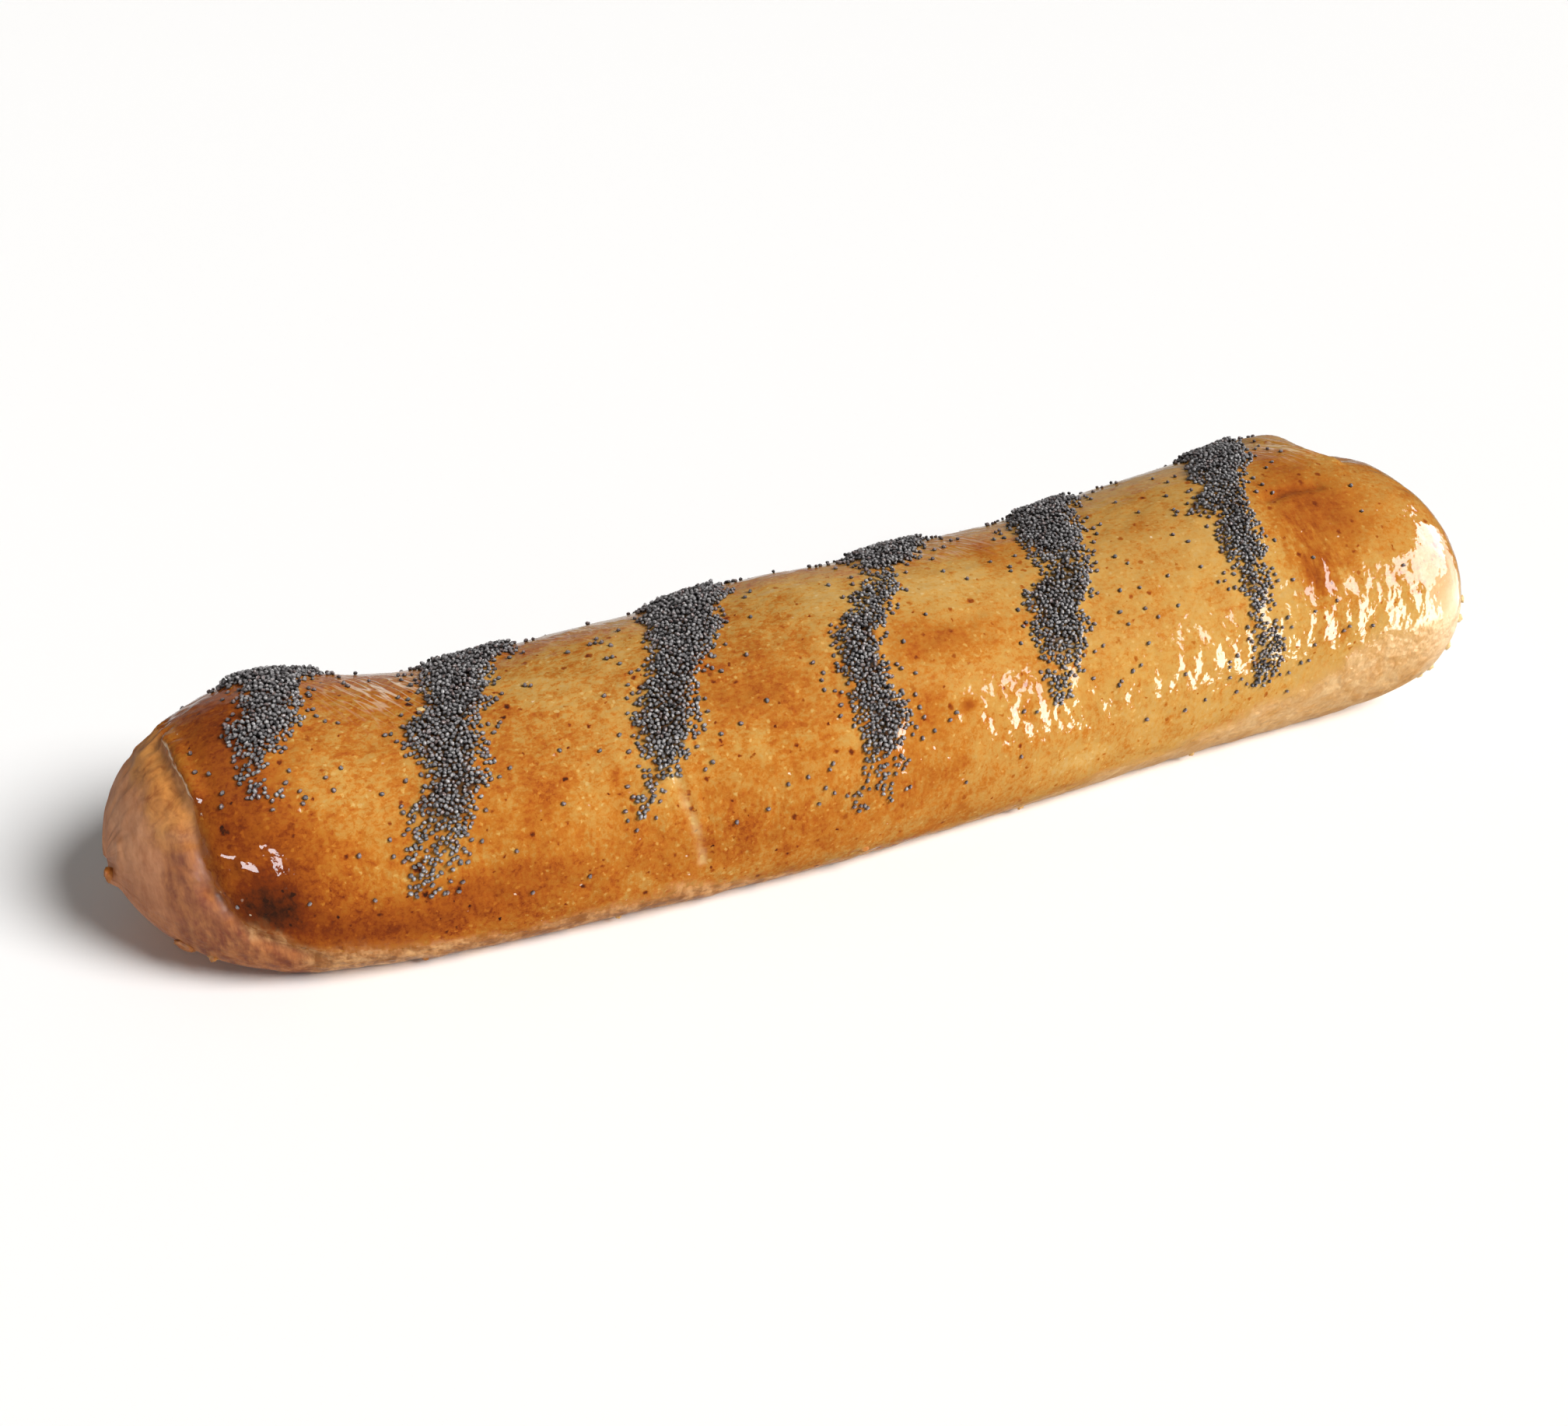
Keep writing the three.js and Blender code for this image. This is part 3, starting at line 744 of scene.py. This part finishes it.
def crust_patterns(tree, place, height):
    """What makes the crust uneven: clouds, thin lines, specks, painted glints among them, and streaks and a
    grain that run along the roll on top and down its sides. Sizes are in mm."""
    bent, ragged = shaken(tree, place, 9, 2.0), shaken(tree, place, 0.8, 1.1)
    upper = height.smooth(24, 40)

    def streaks(where, stretch, size, roughness):
        return tree.noise(tree.mapped(where, stretch), size, 3, roughness) - 0.5

    along = streaks(bent, (0.25, 1.0, 1.0), 1.9, 0.66)
    down = streaks(bent, (1.0, 0.4, 0.3), 2.0, 0.66)
    fine_along = streaks(ragged, (0.7, 1.1, 1.1), 0.9, 0.7)
    fine_down = streaks(ragged, (1.1, 0.8, 0.7), 0.9, 0.7)
    return {
        "broad": tree.noise(place, 17, 2, 0.55, 0.5) - 0.5,
        "middling": tree.noise(bent, 4.2, 4, 0.68, 0.6) - 0.5,
        "streaks": along * upper + down * (1 - upper),
        "lines_down": down,
        "fine": fine_along * upper + fine_down * (1 - upper),
        "lines": near_half(tree.noise(ragged, 2.4, 2, 0.6), 0.035),
        "dots": sum(specks(tree, ragged, *kind) * more for *kind, more in DARK_SPECKS),
        # Painted glints, and pale dots that are partly painted glints
        "painted_glints": specks(tree, ragged, *PAINTED_GLINT_SPECKS),
        "pores_and_glints": specks(tree, ragged, *PALE_PORE_AND_GLINT_SPECKS),
    }


def glazed_colour(tree, patterns, creamy):
    """Colour of the glazed crust: its browning, made uneven by the patterns."""
    baked = tree.number("baked")
    calm = 1.25 - baked.smooth(0.45, 0.85) * 0.65 - creamy * 0.45
    mottling = blend(patterns, MOTTLED_BY)
    mottling = mottling + (-mottling).clamp() * PALE_DAMPED
    # Pale dots at pores lighten the colour, partly as painted glints
    level = (baked + mottling * calm + patterns["lines_down"] * tree.number("streaky") * 0.8
             + (patterns["dots"] - patterns["pores_and_glints"] * 0.15) * calm)
    depth = 1 + blend(patterns, DEEPENED_BY) * calm
    grey = tree.node("ShaderNodeCombineXYZ", None, dict.fromkeys("XYZ", depth))
    return tree.mix(1.0, tree.ramp(level.clamp(), BAKED_COLOURS), grey, "MULTIPLY")


def fine_wrinkles_and_sheen(tree, place):
    """1 on the fine hairlines that run slantwise over the wrinkly places: small wrinkles, with painted
    sheen on them.
    """
    turned = tree.mapped(place, rotation=(0, 0, 1.05))
    wrinkle_and_sheen_lines = near_half(tree.noise(tree.mapped(turned, (0.12, 1.0, 1.0)), 1.4, 1, 0.5), 0.06)
    return wrinkle_and_sheen_lines * tree.number("wrinkles_with_sheen")


def dough(tree, patterns, name):
    """Bare dough of one kind, from its dark to its light."""
    dark, light, shares = DOUGHS[name]
    return tree.mix((blend(patterns, shares) + 0.5).clamp(), dark, light)


def foot_colour(tree, patterns, creamy):
    """Bare dough near the floor, with pale streaks down it, and creamier to the right."""
    middling, lines_down = patterns["middling"], patterns["lines_down"]
    foot = tree.mix(((lines_down + middling * 0.7) * 3.2).clamp() * 0.55, dough(tree, patterns, "foot"),
                    FOOT_PALE)
    return tree.mix(creamy, foot, dough(tree, patterns, "far_foot"))


def tucked_colour(tree, patterns, height):
    """Bare dough under the fold, paler at its top, and on the tucked end, yellower near the floor."""
    below = tree.mix((tree.number("fold_pale") * (0.58 + patterns["middling"] * 2.4)).clamp(),
                     dough(tree, patterns, "under_fold"), FOLD_PALE)
    tint = tree.mix(height.smooth(10, 36), END_LOW, END_HIGH)
    face = tree.mix(1.0, dough(tree, patterns, "end_face"), tint, "MULTIPLY")
    return tree.mix(tree.number("end_face"), below, face)


def crust_material():
    """Glazed and unevenly browned crust, bare near the floor, under the fold and on the tucked end. Its
    colour also carries painted sheen, painted glints, a painted highlight on the fold's edge and painted
    shade under the seeds.
    """
    material, tree, place = new_material("baked_crust")
    height = tree.node("ShaderNodeSeparateXYZ", None, {"Vector": place}, "Z")
    patterns = crust_patterns(tree, place, height)
    middling, painted_glints = patterns["middling"], patterns["painted_glints"]
    bare, shade, creamy = tree.number("bare"), tree.number("seed_painted_shade"), tree.number("creamy")
    under_fold = tree.number("under_fold")

    wrinkle_and_sheen_lines = fine_wrinkles_and_sheen(tree, place)
    colour = glazed_colour(tree, patterns, creamy)
    # Painted sheen along the fine wrinkles, and painted glints
    colour = tree.mix((wrinkle_and_sheen_lines * 0.9 + painted_glints * 0.8).clamp(), colour, tree.mix(painted_glints, PAINTED_SHEEN_ON_WRINKLES, PAINTED_GLINT_COLOUR))
    unglazed = (bare + middling * 1.1 * bare + patterns["lines_down"] * 0.6 * bare).clamp()
    colour = tree.mix(unglazed * 0.9, colour, foot_colour(tree, patterns, creamy))
    colour = tree.mix(under_fold * 0.92, colour, tucked_colour(tree, patterns, height))
    # Painted highlight along the fold's edge
    edge = under_fold.smooth(0.02, 0.14) * (1 - under_fold.smooth(0.2, 0.4)) * tree.number("fold_edge_highlight")
    colour = tree.mix(edge * 0.85, colour, PAINTED_HIGHLIGHT_ON_FOLD_EDGE)
    # Pale stretch mark, partly a painted glint, and a painted sheen line on the far rim
    colour = tree.mix((tree.number("stretch_marks_and_sheen") * 0.8).clamp(), colour, BAKED_COLOURS[0][1])
    colour = tree.mix(tree.number("pale_tip") * (0.75 + middling).clamp(), colour, TIP_DOUGH)
    # Painted shade under the heaped seeds
    colour = tree.mix(shade * 0.85, colour, PAINTED_SHADE_UNDER_SEEDS)

    dull = (unglazed + under_fold).clamp()
    rough = GLAZE_ROUGHNESS + dull * 0.36 + under_fold * 0.2 + patterns["fine"] * 0.04 + shade * 0.3

    # Relief in mm: grain, orange peel, drips down the sides, fine wrinkles and the rougher bare dough.
    grain, peel = tree.noise(place, 0.6, 1, 0.5), tree.noise(place, 2.0, 1.5, 0.45)
    relief = (grain * (0.012 + bare * 0.06) + peel * (0.17 + tree.number("drips") * 0.08 + bare * 0.3)
              + wrinkle_and_sheen_lines * 0.1)
    return finish_material(material, tree, {
        "Base Color": colour, "Roughness": rough.clamp(), "Normal": tree.bump(relief, MM)})


# Colours of the seeds against the number drawn for each.
SEED_COLOURS = [
    (0, (0.07, 0.062, 0.066)), (0.3, (0.135, 0.125, 0.13)), (0.6, (0.22, 0.21, 0.215)),
    (0.82, (0.34, 0.33, 0.33)), (0.9, (0.17, 0.11, 0.105)), (1, (0.11, 0.055, 0.045)),
]
# Painted shade at the foot of each seed
SEED_PAINTED_SHADE = (0.016, 0.012, 0.012)
SEED_BROWN = (0.115, 0.06, 0.055)
# Painted highlights on the tops of heaped and of lone seeds
SEED_PAINTED_HIGHLIGHT = (0.8, 0.78, 0.78)
LONE_SEED_PAINTED_HIGHLIGHT = (0.66, 0.53, 0.53)
NET_COLOUR = (0.42, 0.41, 0.41)
NET_CELL = 0.24  # mm across, of the fine net on a seed's skin


def seed_material(name, browner, painted_highlight):
    """Poppy seeds under a fine net, each of its own grey, with painted shade at the foot and a painted
    highlight at the top.
    """
    material, tree, place = new_material(name)
    tint, top = tree.number("tint"), tree.number("top")
    cells = tree.node("ShaderNodeTexVoronoi", {"feature": "DISTANCE_TO_EDGE"},
                      {"Vector": place, "Scale": 1 / NET_CELL}, "Distance")
    net = 1 - cells.smooth(0.02, 0.16)
    colour = tree.ramp((tint + (tree.noise(place, 0.5) - 0.5) * 0.3).clamp(), SEED_COLOURS)
    colour = tree.mix(tint.smooth(0.15, 0.55) * browner, colour, SEED_BROWN)
    colour = tree.mix(net * 0.35, colour, NET_COLOUR)
    # Painted shade at each seed's foot and a painted highlight at its top, set by its height within the
    # seed
    colour = tree.mix(top.smooth(0.3, 0.85), SEED_PAINTED_SHADE, colour)
    colour = tree.mix(top.smooth(0.82, 0.97) * (0.25 + tint * 0.55), colour, painted_highlight)
    return finish_material(material, tree, {
        "Base Color": colour, "Roughness": 0.26 + tree.noise(place, 0.7) * 0.2,
        "Normal": tree.bump(net, 0.04 * MM, 0.6)})


def crumb_material():
    material, tree, place = new_material("crumb")
    level = tree.number("tint") + (tree.noise(place, 0.8, 3) - 0.5) * 0.4
    return finish_material(material, tree, {
        "Base Color": tree.ramp(level.clamp(), BAKED_COLOURS),
        "Roughness": 0.4 + tree.noise(place, 1.5) * 0.3,
        "Normal": tree.bump(tree.noise(place, 0.5, 3), 0.1 * MM, 0.6)})


def floor_material():
    material, tree, place = new_material("pale_floor")
    colour = tree.mix(tree.noise(place, 400), (0.945,) * 3, (0.955,) * 3)
    return finish_material(material, tree, {
        "Base Color": colour, "Roughness": 0.8, "Specular IOR Level": 0.1})


# ---- Poppy seeds ----


def seed_shape(material):
    """One kidney-shaped seed about its middle, 30 triangles: hoops of points round its long axis."""
    long, wide, thick = SEED
    hoops, round_it = 3, 5
    dented, bowed = 0.1, 0.06  # how deep its dent is and how far its ends bend, as shares of its width
    points = [(-long / 2, -bowed * wide, 0)]
    for h in range(1, hoops + 1):
        turn = math.pi * h / (hoops + 1)
        along, out = -math.cos(turn), math.sin(turn)
        for k in range(round_it):
            a = 2 * math.pi * k / round_it
            dent = -dented * max(0.0, -math.cos(a)) * (1 - along**2)
            y = out * math.cos(a) * wide / 2 - dent * wide - bowed * wide * along**2
            points.append((along * long / 2, y, out * math.sin(a) * thick / 2))
    points.append((long / 2, -bowed * wide, 0))
    faces = hoop_faces(hoops, round_it, 1, (0, len(points) - 1))
    # Height within the seed, which sets its painted shade and painted highlight
    tops = [p[2] / thick + 0.5 for p in points]
    return new_piece("seed_shape", np.array(points) * MM, faces, material, {"top": tops})


# What strewing goes by: the number kept on the mesh, spacing, most, height above the mesh and how it
# varies, tilt in radians, sizes, and the seed of the random draws
STREWING = {
    "Strewn by": "String", "Spacing": "Float", "Most per square metre": "Float", "Lift": "Float",
    "Uneven lift": "Float", "Tilt": "Float", "Smallest": "Float", "Largest": "Float", "Draw": "Int"}


def strewing_tree():
    """Strews a shape over a mesh."""
    group = bpy.data.node_groups.new("strew_seeds", "GeometryNodeTree")
    inputs = {"Geometry": "Geometry", "Shape": "Object", "Material": "Material", **STREWING}
    for name, kind in inputs.items():
        group.interface.new_socket(name, in_out="INPUT", socket_type="NodeSocket" + kind)
    group.interface.new_socket("Geometry", in_out="OUTPUT", socket_type="NodeSocketGeometry")
    tree = Tree(group)
    given = tree.node("NodeGroupInput")
    value = {name: given.other(name) for name in inputs}

    spread = tree.node("GeometryNodeDistributePointsOnFaces", {"distribute_method": "POISSON"}, {
        "Mesh": value["Geometry"],
        "Distance Min": value["Spacing"],
        "Density Max": value["Most per square metre"],
        "Density Factor": tree.node("GeometryNodeInputNamedAttribute", None, {"Name": value["Strewn by"]}),
        "Seed": value["Draw"]})

    def draw(low, high, more):
        seed = value["Draw"] + more
        return tree.node("FunctionNodeRandomValue", None, {"Min": low, "Max": high, "Seed": seed})

    lift = value["Lift"] + draw(-1.0, 1.0, 1) * value["Uneven lift"]
    offset = tree.scaled(spread.other("Normal"), lift)
    lifted = tree.node("GeometryNodeSetPosition", None, {"Geometry": spread, "Offset": offset})
    angles = tree.node("ShaderNodeCombineXYZ", None, {
        "X": draw(-1.0, 1.0, 2) * value["Tilt"],
        "Y": draw(-1.0, 1.0, 3) * value["Tilt"],
        "Z": draw(0.0, 2 * math.pi, 4)})
    rotation = tree.node("FunctionNodeRotateRotation", {"rotation_space": "LOCAL"}, {
        "Rotation": spread.other("Rotation"),
        "Rotate By": tree.node("FunctionNodeEulerToRotation", None, {"Euler": angles})})
    shape = tree.node("GeometryNodeObjectInfo", None, {"Object": value["Shape"]}, "Geometry")
    seeds = tree.node("GeometryNodeInstanceOnPoints", None, {
        "Points": lifted, "Instance": shape, "Rotation": rotation,
        "Scale": draw(value["Smallest"], value["Largest"], 5)})
    tinted = tree.node("GeometryNodeStoreNamedAttribute", {"domain": "INSTANCE"}, {
        "Geometry": seeds, "Name": "tint", "Value": draw(0.0, 1.0, 6)})
    real = tree.node("GeometryNodeRealizeInstances", None, {"Geometry": tinted})
    coloured = tree.node("GeometryNodeSetMaterial", None, {"Geometry": real, "Material": value["Material"]})
    tree.node("NodeGroupOutput", None, {"Geometry": coloured})
    return group


# Seeds on the crust in the bands, seeds heaped on those, and strays glued flat by the glaze
SEED_KINDS = {
    "poppy_seeds_bed": ("seed_bed", 0.75 * MM, 4.0e6, 0.3 * MM, 0.14 * MM, 0.6, 0.84, 1.1, 11),
    "poppy_seeds_heaped": ("seed_heap", 0.84 * MM, 4.0e6, 0.95 * MM, 0.22 * MM, 0.9, 0.84, 1.1, 23),
    "poppy_seeds_strayed": ("seed_stray", 0.95 * MM, 1.6e6, 0.26 * MM, 0.1 * MM, 0.35, 0.84, 1.08, 37),
}


def strewn_piece(name, values, carrier, shape, material, group):
    """A piece of seeds strewn over the carrier, as one plain mesh."""
    piece = new_object(name, carrier.data.copy())
    modifier = piece.modifiers.new("strewing", "NODES")
    modifier.node_group = group
    identifiers = {item.name: item.identifier for item in group.interface.items_tree
                   if item.in_out == "INPUT"}
    for key, value in {**dict(zip(STREWING, values)), "Shape": shape, "Material": material}.items():
        modifier[identifiers[key]] = value
    graph = bpy.context.evaluated_depsgraph_get()
    seeds = bpy.data.meshes.new_from_object(piece.evaluated_get(graph))
    piece.modifiers.remove(modifier)
    carried = piece.data
    piece.data = seeds
    bpy.data.meshes.remove(carried)
    seeds.name = name
    for key in [a.name for a in seeds.attributes if a.domain == "POINT" and a.data_type == "FLOAT"]:
        if key not in ("tint", "top"):
            seeds.attributes.remove(seeds.attributes[key])
    seeds.shade_smooth()
    return piece


# ---- Crumbs ----

# Crumbs and flakes of crust: x, angle, half its reach along, round and out in mm, how far baked
CRUMBS = [
    (-88.7, 6, 1.4, 0.8, 0.3, 0.03), (-9, 117, 0.8, 0.6, 0.6, 0.42), (-139.6, 127, 2, 1.3, 0.9, 0.52),
    (-135.3, 127, 1.1, 0.9, 0.9, 0.42), (-149.2, 92, 0.8, 1.7, 0.9, 0.5), (138.8, 117, 1.2, 0.9, 0.7, 0.02),
    (136.5, 121, 0.8, 0.7, 0.6, 0.08), (142, 106, 1.2, 0.9, 0.7, 0.05), (144.5, 84, 1.2, 0.9, 0.7, 0.03),
    (144, 93, 1, 0.9, 0.7, 0.05), (-60, 132, 0.7, 0.5, 0.4, 0.3), (31, 132, 0.8, 0.5, 0.4, 0.3),
    (76, 131, 0.7, 0.5, 0.4, 0.2), (-98, 132, 0.6, 0.5, 0.4, 0.45), (52, -131, 0.9, 0.6, 0.5, 0.3),
    (-40, -132, 0.8, 0.6, 0.5, 0.4), (110, -129, 0.9, 0.6, 0.5, 0.2),
]


def crumbs_piece(material):
    """Uneven lumps, each half sunk in the crust: hoops of points from its top down."""
    points, faces, tints = [], [], []
    across, down = 12, 7
    uneven, lowest = 0.9, 0.02  # share by which a lump's reach varies, and the least height in mm
    for number, (x, angle, along, around, out, baked) in enumerate(CRUMBS):
        place = (np.array([float(x)]), np.array([float(angle)]))
        middle, up = crust(*place)[0], outward(*place)[0]
        side = np.cross(up, (1.0, 0.0, 0.0))
        side = side / np.linalg.norm(side)
        ahead = np.cross(side, up)
        start = len(points)
        for d in range(down + 1):
            turn = math.pi * d / down
            for a in range(across if 0 < d < down else 1):
                swing = 2 * math.pi * a / across
                way = (math.sin(turn) * math.cos(swing), math.sin(turn) * math.sin(swing), math.cos(turn))
                lump = float(noise(way[0] * 1.6 + 5 * number, way[1] * 1.6 + way[2] * 2.1)) - 0.5
                step = ahead * way[0] * along + side * way[1] * around + up * way[2] * out
                point = middle + step * (1 + uneven * lump)
                points.append((*point[:2], max(point[2], lowest)))
                tints.append(baked)
        faces += hoop_faces(down - 1, across, start + 1, (start, len(points) - 1))
    return new_piece("strudel_crumbs", into_frame(np.array(points)), faces, material, {"tint": tints})


# ---- Making the pieces ----

strudel = crust_piece(crust_material())
seed_look = seed_material("poppy_seed", 0.0, SEED_PAINTED_HIGHLIGHT)
strayed_look = seed_material("poppy_seed_alone", 0.9, LONE_SEED_PAINTED_HIGHLIGHT)
pieces = [strudel]
shape = seed_shape(seed_look)
group = strewing_tree()
for name, values in SEED_KINDS.items():
    look = strayed_look if name == "poppy_seeds_strayed" else seed_look
    pieces.append(strewn_piece(name, values, strudel, shape, look, group))
bpy.data.objects.remove(shape)
pieces.append(crumbs_piece(crumb_material()))

for piece in pieces:
    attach(piece, "root")
    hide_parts("strudel")

# ---- Floor, light and camera ----

# A far, broad light that evenly lights roll and floor and throws the soft shadow: azimuth and elevation
SUN_FROM = (-48, 40.5)
SUN = {"angle": math.radians(26), "energy": 4.3, "color": (1.0, 0.99, 0.978)}

# Windows that only show in the glaze: azimuth, elevation, degrees wide and high, radiance
WINDOWS = {"window": (-19, 19.5, 50, 23, 10.0), "window_left": (-141, 6, 26, 16, 14.0)}
WINDOW_COLOUR = (0.92, 0.96, 1.0)
WINDOW_DISTANCE = 2.5
# and bright panes of the surroundings that do the same
PANES = [(-43, -6, 14, 28, 14.0), (-12, -8, 48, 32, 2.8)]
AIR_COLOUR = (1.0, 0.98, 0.95, 1.0)

# Camera: lens, how far it is turned from +Y to the right and down, distance, where it aims
LENS = 38.39
TURNED, TILTED = 23.0, 34.0
DISTANCE = 350 * MM
AIMED_AT = (-14.83 * MM, -6.78 * MM, 25 * MM)


def floor_piece():
    half = 6.0
    corners = [(-half, -half, 0), (half, -half, 0), (half, half, 0), (-half, half, 0)]
    floor = new_piece("floor", corners, [(0, 1, 2, 3)], floor_material())
    floor.visible_glossy = False


def direction(azimuth, elevation):
    """Unit vector: azimuth in degrees from +X towards +Y, elevation above the floor."""
    a, e = math.radians(azimuth), math.radians(elevation)
    return Vector((math.cos(a) * math.cos(e), math.sin(a) * math.cos(e), math.sin(e)))


def lamp_from(way, name, kind, **settings):
    """A lamp that shines from that way."""
    lamp = bpy.data.lights.new(name, kind)
    for setting, value in settings.items():
        setattr(lamp, setting, value)
    light = new_object(name, lamp)
    light.rotation_euler = (-way).to_track_quat("-Z", "Y").to_euler()
    return light


def window(name, azimuth, elevation, wide, high, radiance):
    """A bright flat panel that only shows in the glaze, so many degrees wide and high from the roll."""
    width, height = (2 * WINDOW_DISTANCE * math.tan(math.radians(angle / 2)) for angle in (wide, high))
    way = direction(azimuth, elevation)
    light = lamp_from(way, name, "AREA", shape="RECTANGLE", color=WINDOW_COLOUR, size=width, size_y=height,
                      energy=radiance * math.pi * width * height)
    light.location = way * WINDOW_DISTANCE + Vector((0, 0, 30 * MM))
    light.visible_diffuse = False


def pane(tree, way, azimuth, elevation, wide, high):
    """1 for directions inside a pane so many degrees wide and high, 0 outside it."""
    middle = direction(azimuth, elevation)
    aside = Vector((0, 0, 1)).cross(middle).normalized()
    soft = 0.01
    inside = tree.vectors("DOT_PRODUCT", way, middle).smooth(0.0, 0.1)
    for axis, reach in ((aside, wide), (middle.cross(aside), high)):
        edge = math.sin(math.radians(reach / 2))
        inside = inside * (1 - abs(tree.vectors("DOT_PRODUCT", way, axis)).smooth(edge - soft, edge + soft))
    return inside


def surroundings():
    """White for the camera. As diffuse light it is brighter near the horizon, most on the left. Reflections
    find it dim, with a paler strip behind the roll, a paler ground there and the bright panes."""
    world = bpy.data.worlds.new("studio")
    bpy.context.scene.world = world
    tree = empty_tree(world)
    way = tree.node("ShaderNodeTexCoord", None, None, "Generated")
    x = tree.node("ShaderNodeSeparateXYZ", None, {"Vector": way}, "X")
    y, z = x.other("Y"), x.other("Z")
    low = 1 - z.smooth(0.1, 0.55)
    left = (-x).smooth(0.1, 0.9)
    diffuse = 0.12 + z.smooth(0.6, 0.95) * 0.1 + low * 0.15 + left * (1 - z.smooth(0.0, 0.24)) * 1.2
    behind = (x * 0.25 + y * 0.97).smooth(0.8, 0.95) * (1 - z.smooth(0.25, 0.4))
    below = (-z).smooth(0.1, 0.35) * y.smooth(0.2, 0.6)
    mirrored = 0.05 + z.smooth(0.6, 0.9) * 0.06 + behind * 0.22 + below * 0.5
    for *seen, radiance in PANES:
        mirrored = mirrored + pane(tree, way, *seen) * radiance
    camera_ray = tree.node("ShaderNodeLightPath", None, None, "Is Camera Ray")
    glossy = camera_ray.other("Is Glossy Ray")
    strength = diffuse * (1 - glossy) + mirrored * glossy + camera_ray * 0.8
    back = tree.node("ShaderNodeBackground", None, {"Color": AIR_COLOUR, "Strength": strength})
    tree.node("ShaderNodeOutputWorld", None, {"Surface": back})


def camera():
    """Where the photograph's camera stood."""
    turn, down = math.radians(TURNED), math.radians(TILTED)
    ahead = Vector((math.sin(turn) * math.cos(down), math.cos(turn) * math.cos(down), -math.sin(down)))
    data = bpy.data.cameras.new("camera")
    data.lens = LENS
    eye = new_object("camera", data)
    eye.location = Vector(AIMED_AT) - ahead * DISTANCE
    eye.rotation_euler = ahead.to_track_quat("-Z", "Y").to_euler()
    bpy.context.scene.camera = eye


floor_piece()
lamp_from(direction(*SUN_FROM), "key", "SUN", **SUN).visible_glossy = False
for name, seen in WINDOWS.items():
    window(name, *seen)
surroundings()
camera()
bpy.context.scene.view_settings.view_transform = "Standard"
